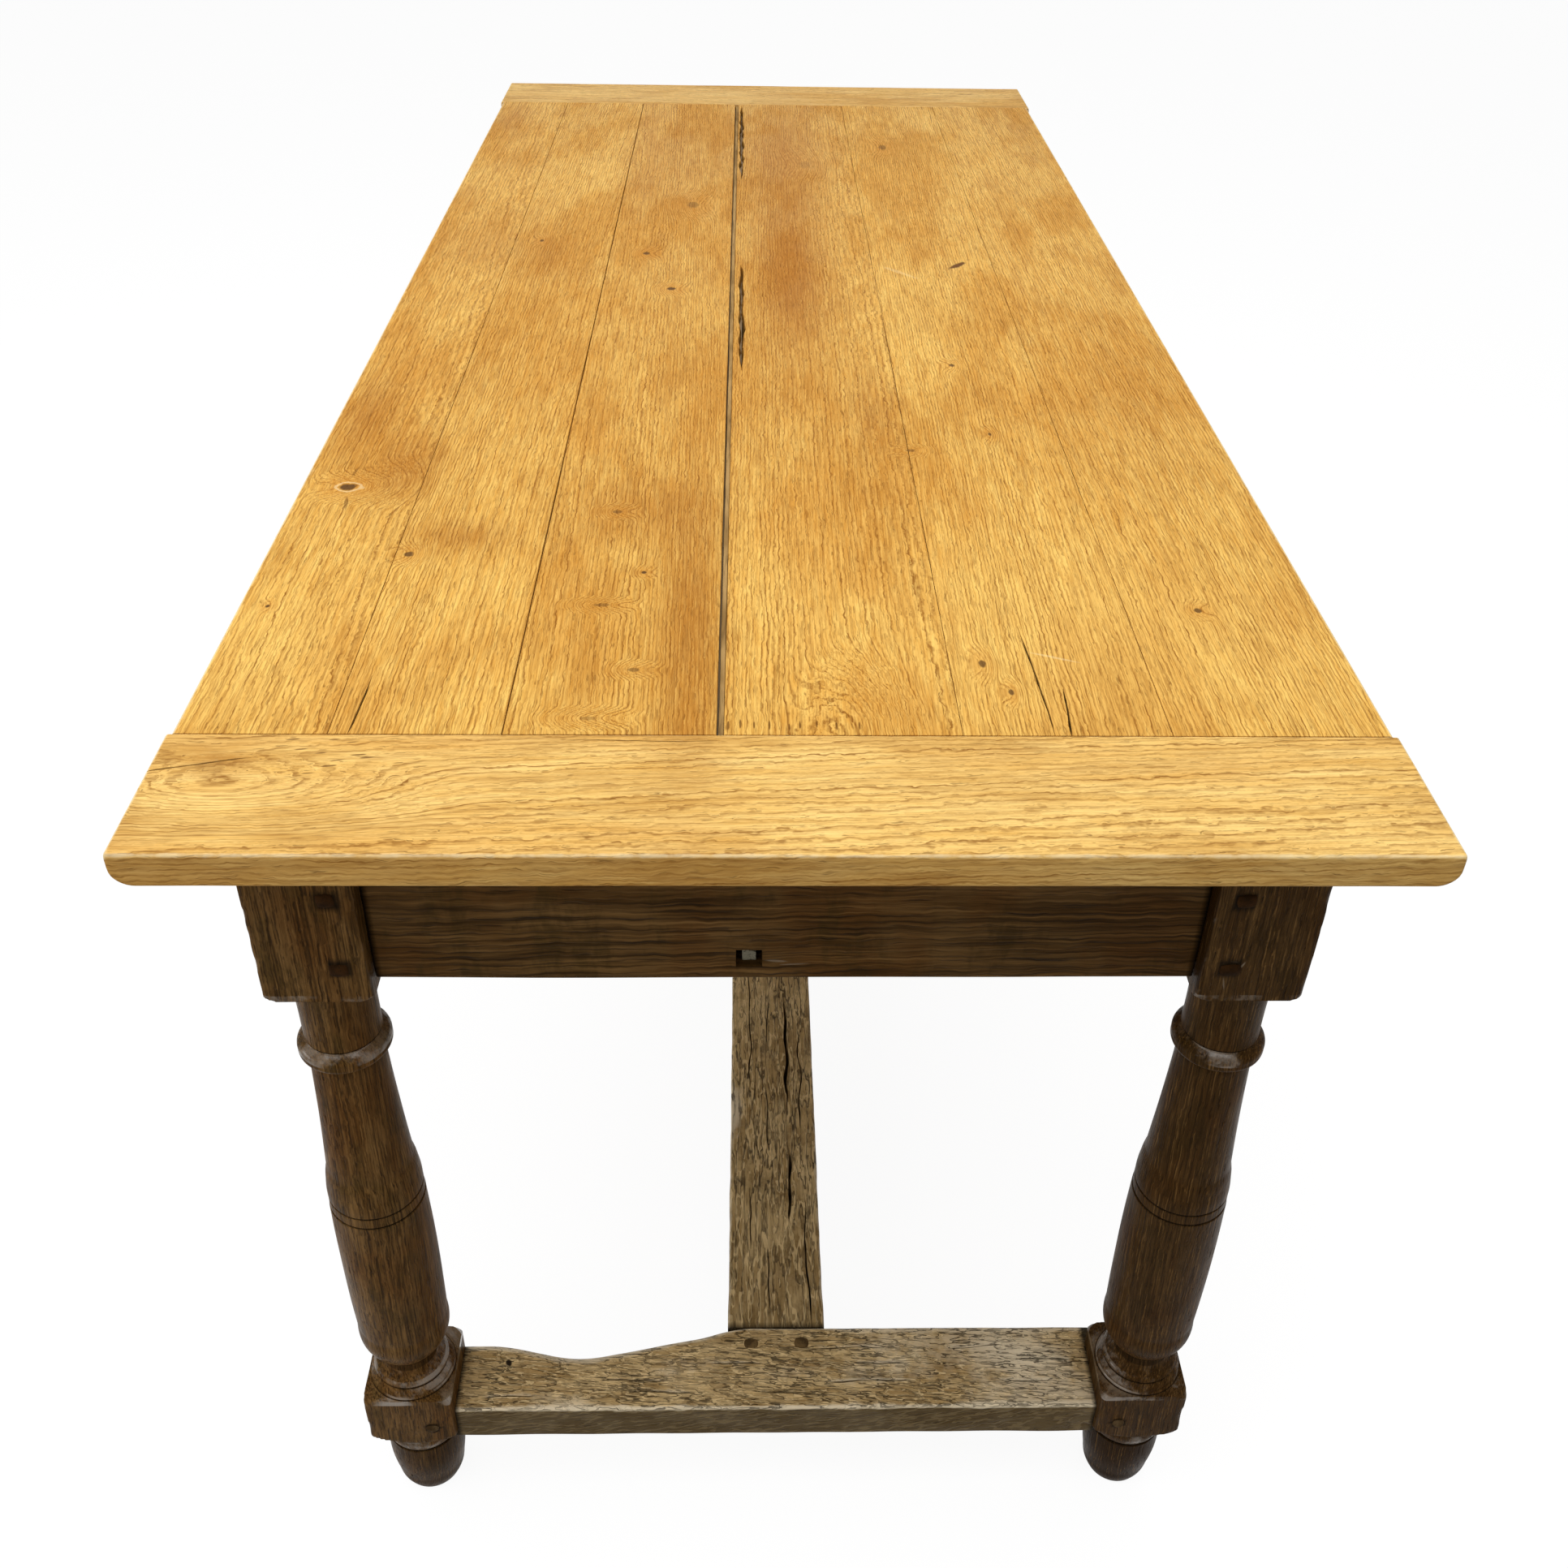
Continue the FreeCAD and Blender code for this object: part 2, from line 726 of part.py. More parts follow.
def table():
    """Every piece of the table by name."""
    pieces = {}
    for index in range(len(board_widths)):
        pieces["top_board_%d" % (index + 1)] = top_board(index)
    for index in range(len(gaps)):
        pieces["top_tongue_%d" % (index + 1)] = top_tongue(index)
    pieces["joint_filler"] = joint_filler()
    for end, sy in (("near", -1), ("far", 1)):
        pieces["end_cap_" + end] = end_cap(sy)
        pieces["cap_pegs_" + end] = cap_pegs(sy)
        pieces["end_apron_" + end] = end_apron(sy)
        pieces["end_stretcher_" + end] = end_stretcher(sy)
        pieces["stretcher_pegs_" + end] = stretcher_pegs(sy)
        pieces["spine_pegs_" + end] = spine_pegs(sy)
        for hand, sx in (("left", -1), ("right", 1)):
            pieces["leg_%s_%s" % (end, hand)] = leg(sx, sy)
            pieces["apron_pegs_%s_%s" % (end, hand)] = apron_pegs(sx, sy)
    for hand, sx in (("left", -1), ("right", 1)):
        pieces["side_apron_" + hand] = side_apron(sx)
        pieces["buttons_" + hand] = buttons(sx)
    pieces["apron_plug"] = apron_plug()
    pieces["centre_stretcher"] = centre_stretcher()
    pieces["top_bearer"] = top_bearer()
    pieces["bearer_nails"] = bearer_nails()
    pieces["button_nails"] = button_nails()
    return pieces


os.makedirs("parts", exist_ok=True)
for name, shape in table().items():
    shape.exportStep("parts/%s.step" % name)
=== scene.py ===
# Farmhouse table in old oak: worn meshes, finishes, floor, light and camera
import math
from functools import reduce
from types import SimpleNamespace

import bpy
import numpy as np
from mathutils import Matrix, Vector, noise


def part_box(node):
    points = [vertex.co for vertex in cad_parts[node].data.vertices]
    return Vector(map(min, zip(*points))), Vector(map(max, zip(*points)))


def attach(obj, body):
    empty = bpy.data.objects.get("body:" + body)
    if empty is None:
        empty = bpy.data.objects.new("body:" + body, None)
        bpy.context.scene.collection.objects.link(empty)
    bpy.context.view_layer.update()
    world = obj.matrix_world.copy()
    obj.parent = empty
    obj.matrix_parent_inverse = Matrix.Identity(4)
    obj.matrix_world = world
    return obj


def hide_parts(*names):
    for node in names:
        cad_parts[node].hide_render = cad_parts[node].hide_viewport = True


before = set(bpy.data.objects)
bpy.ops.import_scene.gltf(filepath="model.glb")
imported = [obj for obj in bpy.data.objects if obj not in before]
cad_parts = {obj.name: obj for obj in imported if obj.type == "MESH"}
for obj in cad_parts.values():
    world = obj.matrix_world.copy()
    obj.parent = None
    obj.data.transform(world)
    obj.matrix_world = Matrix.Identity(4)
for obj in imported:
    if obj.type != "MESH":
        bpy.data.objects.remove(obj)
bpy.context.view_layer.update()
mm = 0.001


# Sizes that the pieces share with the solids

def solid_box(node):
    """Lowest and highest corner of a solid, to a hundredth of a millimetre."""
    return [[round(value, 5) for value in corner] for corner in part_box(node)]


(_, cap_inner, top_under), (cap_half, cap_outer, table_height) = solid_box("end_cap_far")
field_end = solid_box("joint_filler")[1][1]
field_edge = cap_half - 10 * mm
under_round = 14 * mm
leg_half = 36.5 * mm
leg_x, leg_y, _ = np.mean(solid_box("leg_far_right"), 0)
shoulder_x = leg_x - leg_half
shoulder_y = leg_y - leg_half
(_, apron_inner_y, apron_low), (_, apron_outer_y, _) = solid_box("end_apron_far")
apron_outer_x = solid_box("side_apron_right")[1][0]
apron_thick = apron_outer_y - apron_inner_y
(_, stretcher_inner, stretcher_low), (_, stretcher_outer, stretcher_top) = solid_box("end_stretcher_far")
(_, _, spine_low), (spine_half, _, spine_top) = solid_box("centre_stretcher")
peg_half = 5 * mm
(peg_left, _, peg_low), (_, _, peg_high) = solid_box("apron_pegs_far_right")
peg_off = leg_x - peg_left - peg_half
peg_heights = (peg_low + peg_half, peg_high - peg_half)
stud_height = solid_box("stretcher_pegs_far")[0][2] + peg_half
(_, rail_peg_near, _), (rail_peg_right, _, _) = solid_box("spine_pegs_far")
rail_peg_x = rail_peg_right - peg_half
rail_peg_y = rail_peg_near + peg_half
ends = (("near", -1), ("far", 1))
leg_ends = (("near_left", -1, -1), ("near_right", 1, -1), ("far_left", -1, 1), ("far_right", 1, 1))


# Node trees

def sums(operation, swapped=False):
    """A Python operator that makes a node for the operation."""
    def method(self, other=0.0):
        first, second = (other, self) if swapped else (self, other)
        return self.finish.add("ShaderNodeMath", {"operation": operation}, {0: first, 1: second})
    return method


class Value:
    """A node's socket that takes part in Python sums."""

    def __init__(self, finish, socket):
        self.finish = finish
        self.socket = socket

    __add__ = sums("ADD")
    __radd__ = sums("ADD", True)
    __sub__ = sums("SUBTRACT")
    __rsub__ = sums("SUBTRACT", True)
    __mul__ = sums("MULTIPLY")
    __truediv__ = sums("DIVIDE")
    most = sums("MAXIMUM")
    root = sums("SQRT")
    whole = sums("FLOOR")

    def outputs(self):
        """Every output of the node that this socket belongs to, by name."""
        return {socket.name: Value(self.finish, socket) for socket in self.socket.node.outputs}


class Finish:
    """One material, or the world, and the nodes that make it."""

    def __init__(self, name, holder=None):
        self.material = holder or bpy.data.materials.new(name)
        self.material.use_nodes = True
        self.tree = self.material.node_tree
        self.tree.nodes.clear()

    def add(self, kind, settings=None, sockets=None, out=0):
        node = self.tree.nodes.new(kind)
        for key, value in (settings or {}).items():
            setattr(node, key, value)
        for key, value in (sockets or {}).items():
            socket = node.inputs[key]
            if isinstance(value, Value):
                self.tree.links.new(value.socket, socket)
            else:
                socket.default_value = (*value, 1.0) if socket.type == "RGBA" else value
        return Value(self, node.outputs[out]) if node.outputs else None

    def mark(self, name, out="Fac"):
        return self.add("ShaderNodeAttribute", {"attribute_name": name}, out=out)

    def place(self):
        return self.add("ShaderNodeTexCoord", out="Object")

    def vector(self, how, first, second=(0.0, 0.0, 0.0), out=0):
        return self.add("ShaderNodeVectorMath", {"operation": how}, {0: first, 1: second}, out)

    def cloud(self, vector, scale, detail=2.0, rough=0.5):
        spot = self.vector("MULTIPLY", vector, scale)
        sockets = {"Vector": spot, "Scale": 1.0, "Detail": detail, "Roughness": rough}
        return self.add("ShaderNodeTexNoise", {}, sockets)

    def ease(self, value, start, end):
        settings = {"interpolation_type": "SMOOTHSTEP"}
        return self.add("ShaderNodeMapRange", settings, {0: value, 1: start, 2: end})

    def blend(self, amount, first, second):
        return self.add("ShaderNodeMix", {"data_type": "RGBA"}, {0: amount, 6: first, 7: second}, 2)

    def layer(self, colour, *layers):
        """A colour under layers, each an amount and a tint."""
        for amount, tint in layers:
            colour = self.blend(amount, colour, tint)
        return colour

    def backdrop_rays(self):
        """Rays that see the backdrop itself: from the camera, and by way of gloss and glass."""
        rays = self.add("ShaderNodeLightPath").outputs()
        return rays["Is Camera Ray"].most(rays["Is Glossy Ray"]).most(rays["Is Transmission Ray"])

    def close(self, colour, rough, height, relief, fixed):
        sockets = {"Strength": relief, "Distance": 0.6 * mm, "Height": height}
        normal = self.add("ShaderNodeBump", {}, sockets)
        sockets = {"Base Color": colour, "Roughness": rough, "Normal": normal, **fixed}
        shader = self.add("ShaderNodeBsdfPrincipled", {}, sockets)
        self.add("ShaderNodeOutputMaterial", {}, {"Surface": shader})
        return self.material


# Oak finishes

class Look:
    """What sets one oak finish apart from another."""

    ring = 3.4 * mm
    drift = 22 * mm
    wave = 5 * mm
    pore = 0.6
    sliver = 0.0
    craze = False
    craze_size = (230.0, 25.0, 230.0)
    craze_lip = 1.3 * mm
    relief = 0.4
    rough = 0.42
    polish = 0.0
    coat_ior = 1.5
    wear_and_glint_share = 0.8
    red_share = 0.42
    stain_share = 0.5
    mottle_size = (75.0, 9.0, 75.0)
    mottle_span = (0.3, 0.7)
    wear_and_glint_size = (70.0, 70.0, 70.0)
    # Dark colour for dirt and for painted shade in cracks, grooves and joints
    soot = (0.012, 0.008, 0.005)

    def __init__(self, **words):
        self.__dict__.update(words)


class Knot:
    """A knot in the top: its place, its eye across and along, its bend of the rings, its dark and its rim."""

    def __init__(self, x, y, wide, long, bend, dark, rim=0.0):
        self.place = (x * mm, y * mm, table_height)
        self.size = (1 / (wide * mm), 1 / (long * mm), 0.0)
        self.bend = bend * mm
        self.dark = dark
        self.rim = rim


class Scar:
    """A scratch on the top, or on the front of the near apron: its middle, half sizes and turn."""

    def __init__(self, x, second, long, thin, turn, strength, front=False):
        if front:
            self.place = (x * mm, -apron_outer_y, second * mm)
            self.size = (1 / (long * mm), 1 / (30 * mm), 1 / (thin * mm))
        else:
            self.place = (x * mm, second * mm, table_height)
            self.size = (1 / (long * mm), 1 / (thin * mm), 0.0)
        self.axis = "Y_AXIS" if front else "Z_AXIS"
        self.turn = math.radians(turn)
        self.strength = strength


def oak(name, look, knots=(), dark_scars=(), light_scars=()):
    """A finish that reads a mesh's marks: its place in the log, its wear with painted highlights, its dirt
    with painted shade, and its tone with painted shade and light.
    """
    f = Finish(name)
    grain = f.mark("grain", "Vector")
    worn, soot, tone = [f.mark(mark) for mark in ("worn", "soot", "tone")]
    place = f.place()

    # Growth rings round the pith, bent by the wander of the trunk and by knots
    across, along, depth = f.add("ShaderNodeSeparateXYZ", {}, {0: grain}).outputs().values()
    drift = f.cloud(grain, (7.0, 1.1, 7.0), 1.0) - 0.5
    wave = f.cloud(grain, (42.0, 11.0, 42.0), 2.0) - 0.5
    fray = f.cloud(grain, (115.0, 80.0, 115.0), 2.0, 0.6) - 0.5
    radius = (across * across + depth * depth).root()
    field = radius + drift * look.drift + wave * look.wave
    eyes, halos, rims = [], [], []
    for knot in knots:
        away = f.vector("MULTIPLY", f.vector("SUBTRACT", place, knot.place), knot.size)
        reach = f.vector("LENGTH", away, out="Value") + fray * 0.9
        field = field + f.ease(reach, 4.2, 0.2) * knot.bend
        eyes.append(f.ease(reach, 0.78, 0.42) * knot.dark)
        halos.append(f.ease(reach, 3.6, 1.0) * knot.dark)
        rims.append(f.ease(reach, 1.12, 0.98) * f.ease(reach, 0.72, 0.86) * knot.rim)
    field = field + fray * look.fray
    flow = f.add("ShaderNodeCombineXYZ", {}, {0: field, 1: along, 2: across})
    rings = field / look.ring
    number = rings.whole()
    phase = rings - number
    weight = f.add("ShaderNodeTexWhiteNoise", {"noise_dimensions": "1D"}, {"W": number})
    dashes = f.cloud(flow, (1100.0, 70.0, 700.0), 1.0)
    late = f.ease(phase, 0.5, 0.88) * f.ease(phase, 1.0, 0.9) * (0.3 + weight * 0.7)
    late = late * (0.45 + f.ease(dashes, 0.38, 0.6) * 0.55)
    early = f.ease(phase, 0.42, 0.05)
    fibre = f.cloud(flow, (800.0, 16.0, 800.0), 3.0, 0.6)
    pore = f.ease(dashes, 0.57, 0.68) * (0.25 + early * 0.75)

    # Colour of the ground, then painted shade and light from the tone, lines, stains, knots, wear with
    # painted highlights, and dirt with painted shade
    mottle = f.ease(f.cloud(flow, look.mottle_size, 5.0, 0.66), *look.mottle_span)
    patch = f.ease(f.cloud(place, look.patch_size, 3.0, 0.6), 0.44, 0.62)
    stain = f.ease(f.cloud(place, look.stain_size, 4.0, 0.65), 0.49, 0.66)
    colour = f.layer(
        f.blend(mottle, look.light, look.mid),
        (patch * look.red_share, look.red),
        (stain * look.stain_share, look.stain),
        # Painted shade where the tone mark is above nought, painted light where it is below
        (tone.most(0.0), look.shade),
        ((0.0 - tone).most(0.0), look.light),
        (f.ease(fibre, 0.4, 0.72) * look.fibre, look.dark),
        (f.ease(fibre, 0.44, 0.28) * look.sliver, look.light),
        (late * look.line, look.dark),
        (pore * look.pore, look.pores),
    )
    height = fibre * 0.35 - late * 0.4 - pore * 0.9
    if look.craze:
        bare = 1.0 - tone.most(0.0)
        valley = f.cloud(flow, look.craze_size, 2.0, 0.55) - 0.5
        moved = f.vector("ADD", flow, (look.craze_lip, 0.0, 0.0))
        lip = f.cloud(moved, look.craze_size, 2.0, 0.55) - 0.5
        some = f.ease(f.cloud(place, (30.0, 30.0, 30.0), 2.0), 0.34, 0.6)
        crack = f.ease(valley * valley, 0.0011, 0.0001) * (0.5 + some * 0.5) * bare
        pale = f.ease(lip * lip, 0.0020, 0.0003) * bare
        colour = f.blend(pale * 0.75, colour, look.light)
        height = height - crack * 2.4 + pale * 1.2
    if knots:
        eye, halo, rim = [reduce(Value.most, parts) for parts in (eyes, halos, rims)]
        colour = f.layer(colour, (halo * 0.3, look.red), (rim * 0.38, look.worn), (eye * 0.9, look.knot))
        height = height - eye * 0.8
    for scar, tint in [(s, look.pores) for s in dark_scars] + [(s, look.worn) for s in light_scars]:
        sockets = {"Vector": f.vector("SUBTRACT", place, scar.place), "Angle": -scar.turn}
        away = f.add("ShaderNodeVectorRotate", {"rotation_type": scar.axis}, sockets)
        reach = f.vector("LENGTH", f.vector("MULTIPLY", away, scar.size), out="Value")
        line = f.ease(reach + fray * 1.2, 1.0, 0.5) * scar.strength
        colour = f.blend(line, colour, tint)
        height = height - line * 0.8
    # Pale wear colour, which on the legs and the near stretcher also stands for painted highlights; the coat
    # follows the same mask
    wear_and_glint_mask = f.ease(f.cloud(place, look.wear_and_glint_size, 3.0, 0.65) + worn * 0.9, 0.7, 1.15) * worn
    colour = f.blend(wear_and_glint_mask * look.wear_and_glint_share, colour, look.worn)
    if look.craze:
        colour = f.blend(crack * 0.74, colour, look.pores)
    # Dirt, and painted shade in cracks, grooves, joints and round the pegs
    colour = f.blend(soot, colour, look.soot)
    rough = look.rough + (patch - 0.5) * 0.12 + pore * 0.2 + soot * 0.3 - wear_and_glint_mask * 0.06
    fixed = {"Specular IOR Level": look.shine, "Coat Roughness": 0.16, "Coat IOR": look.coat_ior}
    if look.polish:
        fixed["Coat Weight"] = wear_and_glint_mask * look.polish
    return f.close(colour, rough, height, look.relief, fixed)


top_knots = [
    Knot(-357, -483, 10.5, 9, 18, 1.0, 1.0),
    Knot(-321, -474, 10, 14, 13, 0.0),
    Knot(-95, 324, 11, 20, 14, 0.5),
    Knot(-143, 133, 6, 8, 9, 0.9),
    Knot(-110, 12, 7, 7, 9, 1.0),
    Knot(-267, 176, 4, 7, 7, 0.9),
    Knot(-287, -600, 5, 6, 10, 0.9),
    Knot(-375, -681, 2.6, 3.4, 4, 1.0),
    Knot(-132, -525, 6.5, 4.5, 10, 0.6),
    Knot(-105, -627, 3.4, 3.6, 6, 1.0),
    Knot(-134, -677, 9, 3.6, 12, 0.55),
    Knot(-105, -766, 6.5, 3.8, 10, 0.6),
    Knot(-131, -826, 11, 4.2, 14, 0.42),
    Knot(161, 607, 9, 18, 9, 0.6),
    Knot(48, 515, 12, 26, 12, 0.2),
    Knot(116, -403, 6, 4, 10, 0.6),
    Knot(190, -367, 3, 6, 6, 0.9),
    Knot(173, -203, 4, 6, 8, 0.9),
    Knot(137, -757, 4, 8, 9, 0.9),
    Knot(152, -793, 3, 6, 8, 0.9),
    Knot(305, -681, 4, 5, 8, 0.9),
    Knot(48, -846, 13, 32, 32, 0.0),
]
cap_knots = [
    Knot(-338, -909, 40, 12, 34, 0.0),
    Knot(-361, -881, 16, 13, 5, 0.16),
]
nick_places = (-39, -31, -22, -12, 1, 8, 19, 32, 47)
top_dark_scars = [
    Scar(211, 100, 17, 5.5, 52, 0.95),
    Scar(-353, -512, 1.8, 14, 6, 0.6),
    Scar(-357, -452, 1.6, 12, -6, 0.5),
] + [Scar(x, -836 + x % 5, 0.9, 6, 0, 0.8) for x in nick_places]
top_light_scars = [
    Scar(189, -748, 24, 1.4, -22, 0.26),
    Scar(143, 75, 4, 34, 42, 0.2),
]

cap_nicks = [(-318, -851), (-309, -862), (-290, -851), (-279, -854), (-272, -868), (-284, -874), (-296, -866),
             (-266, -871), (-300, -888), (-288, -880)]
cap_dark_scars = [Scar(x, y, 5.5, 0.9, 8, 0.75) for x, y in cap_nicks]
front_light_scars = [
    Scar(-8, 631, 9, 1.2, 4, 0.55, front=True),
    Scar(4, 628, 12, 0.8, -3, 0.45, front=True),
    Scar(288, 621, 0.8, 8, -12, 0.55, front=True),
    Scar(297, 637, 1.0, 5, 24, 0.7, front=True),
    Scar(292, 641, 4, 0.9, 6, 0.6, front=True),
]
stretcher_holes = [Scar(-231, -880, 3.2, 4, 0, 1.0)]

honey_oak = oak("honey_oak", Look(
    light=(0.94, 0.615, 0.168),
    mid=(0.71, 0.355, 0.060),
    red=(0.54, 0.205, 0.024),
    stain=(0.50, 0.220, 0.032),
    shade=(0.40, 0.140, 0.014),
    dark=(0.25, 0.088, 0.010),
    pores=(0.12, 0.042, 0.007),
    knot=(0.080, 0.036, 0.013),
    worn=(0.93, 0.76, 0.43),
    ring=2.7 * mm, fray=3.2 * mm, line=0.95, fibre=0.55, sliver=0.3, shine=0.014, stain_share=0.3,
    mottle_size=(200.0, 24.0, 200.0), mottle_span=(0.16, 0.84),
    patch_size=(9.0, 3.2, 9.0), stain_size=(26.0, 7.0, 26.0),
), top_knots, top_dark_scars, top_light_scars)

straw_oak = oak("straw_oak", Look(
    light=(0.95, 0.66, 0.235),
    mid=(0.76, 0.43, 0.100),
    red=(0.62, 0.29, 0.055),
    stain=(0.54, 0.29, 0.070),
    shade=(0.36, 0.14, 0.020),
    dark=(0.27, 0.110, 0.018),
    pores=(0.12, 0.046, 0.010),
    knot=(0.060, 0.026, 0.010),
    worn=(0.95, 0.82, 0.52),
    ring=4.2 * mm, wave=7 * mm, fray=5 * mm, line=1.0, fibre=0.45, sliver=0.25, shine=0.02,
    mottle_span=(0.2, 0.85), patch_size=(2.4, 10.0, 10.0), stain_size=(8.0, 36.0, 36.0),
), cap_knots, cap_dark_scars)

# Its pale wear colour is also painted highlight on the rings and mouldings of the legs
dark_oak = oak("dark_oak", Look(
    light=(0.230, 0.124, 0.040),
    mid=(0.112, 0.052, 0.012),
    red=(0.128, 0.044, 0.007),
    stain=(0.066, 0.039, 0.008),
    shade=(0.030, 0.013, 0.003),
    dark=(0.022, 0.010, 0.002),
    pores=(0.007, 0.003, 0.001),
    worn=(0.27, 0.205, 0.138),
    soot=(0.004, 0.003, 0.002),
    ring=2.5 * mm, wave=4 * mm, fray=3 * mm, line=0.75, fibre=0.9, sliver=0.7, shine=0.026, stain_share=0.6,
    rough=0.38, relief=0.8, polish=0.75, coat_ior=1.8, wear_and_glint_share=0.7, wear_and_glint_size=(210.0, 210.0, 210.0),
    patch_size=(13.0, 13.0, 7.0), stain_size=(44.0, 44.0, 18.0), mottle_size=(110.0, 16.0, 110.0),
), (), (), front_light_scars)

# Its pale wear colour also makes a painted highlight at the right end of the near stretcher
worn_oak = oak("worn_oak", Look(
    light=(0.86, 0.63, 0.315),
    mid=(0.44, 0.280, 0.105),
    red=(0.34, 0.195, 0.062),
    stain=(0.20, 0.118, 0.042),
    shade=(0.046, 0.028, 0.007),
    dark=(0.085, 0.050, 0.018),
    pores=(0.022, 0.014, 0.007),
    worn=(0.90, 0.77, 0.55),
    soot=(0.008, 0.006, 0.004),
    wave=8 * mm, fray=4.4 * mm, line=0.4, pore=0.5, fibre=0.42, craze=True, rough=0.4, relief=1.0, shine=0.04,
    mottle_size=(70.0, 16.0, 70.0), mottle_span=(0.25, 0.75),
    patch_size=(14.0, 12.0, 14.0), stain_size=(46.0, 46.0, 46.0),
), (), stretcher_holes)


def bare_wood(name, light, dark, line, fine, broad, detail=3.0, patch=(0.4, 0.65), streak=(0.5, 0.7),
              rough=0.5, ragged=0.2, relief=0.5, shine=0.25):
    """Wood that was never finished: fine fibres and broad blotches from Object coordinates."""
    f = Finish(name)
    place = f.place()
    fibre = f.cloud(place, fine, 3.0, 0.6)
    colour = f.blend(f.ease(f.cloud(place, broad, detail), *patch), light, dark)
    colour = f.blend(f.ease(fibre, *streak) * 0.6, colour, line)
    return f.close(colour, rough + fibre * ragged, fibre, relief, {"Specular IOR Level": shine})


def dry_oak(name, light, dark, fine, broad):
    """Oak inside the table, where no hand or light came."""
    return bare_wood(name, light, dark, dark, fine, broad, patch=(0.35, 0.7), streak=(0.5, 0.75), rough=0.62)


def peg_oak(name, light, dark):
    """End grain of the driven pegs."""
    fine, broad = (900.0, 900.0, 900.0), (95.0, 95.0, 95.0)
    return bare_wood(name, light, dark, Look.soot, fine, broad, 2.0, streak=(0.55, 0.7), shine=0.02)


def strip_wood(name, light, dark, line):
    """Dry wood of another kind: the strip let into the open joint, and the plug in the apron."""
    fine, broad = (700.0, 30.0, 700.0), (60.0, 14.0, 60.0)
    return bare_wood(name, light, dark, line, fine, broad, rough=0.7, ragged=0.15, relief=0.6, shine=0.1)


def forged_iron():
    """Square nails, black from the forge with brown rust."""
    f = Finish("forged_iron")
    place = f.place()
    scale = f.cloud(place, (420.0, 420.0, 420.0), 4.0, 0.65)
    rust = f.ease(f.cloud(place, (150.0, 150.0, 150.0), 3.0), 0.45, 0.65)
    colour = f.blend(rust, (0.045, 0.042, 0.040), (0.115, 0.048, 0.020))
    return f.close(colour, 0.45 + rust * 0.35, scale, 0.6, {"Metallic": 0.6})


# Meshes

# Section of a crack: across, depth, wear on its lips, and dirt with painted shade down in it
crack_section = ((1.0, 0.0, 0.5, 0.0), (0.7, 0.35, 0.0, 0.85), (0.0, 1.0, 0.0, 1.0),
                 (-0.7, 0.35, 0.0, 0.85), (-1.0, 0.0, 0.2, 0.0))
under_wear = 0.15


def unit(values):
    return np.clip(values, 0, 1)


def ripple(points, wave, seed):
    """Smooth noise from about -1 to 1 at the points, with a wavelength in mm for each axis."""
    moved = points / (np.asarray(wave) * mm) + seed * np.array((7.31, 3.77, 5.13))
    return np.array([noise.noise(row) for row in moved.reshape(-1, 3).tolist()]).reshape(points.shape[:-1])


def sway(t, wave, seed):
    """The same noise at places along one line."""
    return ripple(np.stack((t, t * 0, t * 0), -1), (wave, 1, 1), seed)


class Check:
    """A drying crack along a board: its place across at both ends, its size, and the spans it is open on."""

    def __init__(self, start, end, place, place_end, half, deep, seed, spans=None, jag=1.1):
        self.start, self.end = start * mm, end * mm
        self.place, self.place_end = place * mm, place_end * mm
        self.half, self.deep, self.seed = half * mm, deep * mm, seed
        self.spans = [(low * mm, high * mm) for low, high in (spans or [(start, end)])]
        self.jag = jag * mm

    def along(self, t):
        """Its middle and how wide it stands open, at places along the board."""
        share = unit((t - self.start) / (self.end - self.start))
        wide = 0.0 * t
        for low, high in self.spans:
            part = unit((t - low) / (high - low))
            wide = np.maximum(wide, unit(np.sin(part * math.pi) * 2.2) ** 0.7)
        wide = wide * (0.75 + 0.45 * sway(t, 13, self.seed + 5))
        centre = self.place + (self.place_end - self.place) * share
        return centre + sway(t, 34, self.seed) * self.jag, unit(wide)


def jagged_checks(jag, *rows):
    """Checks of a rail that wander as much as each other, each row in the order of a check's own words."""
    return [Check(*row, jag=jag) for row in rows]


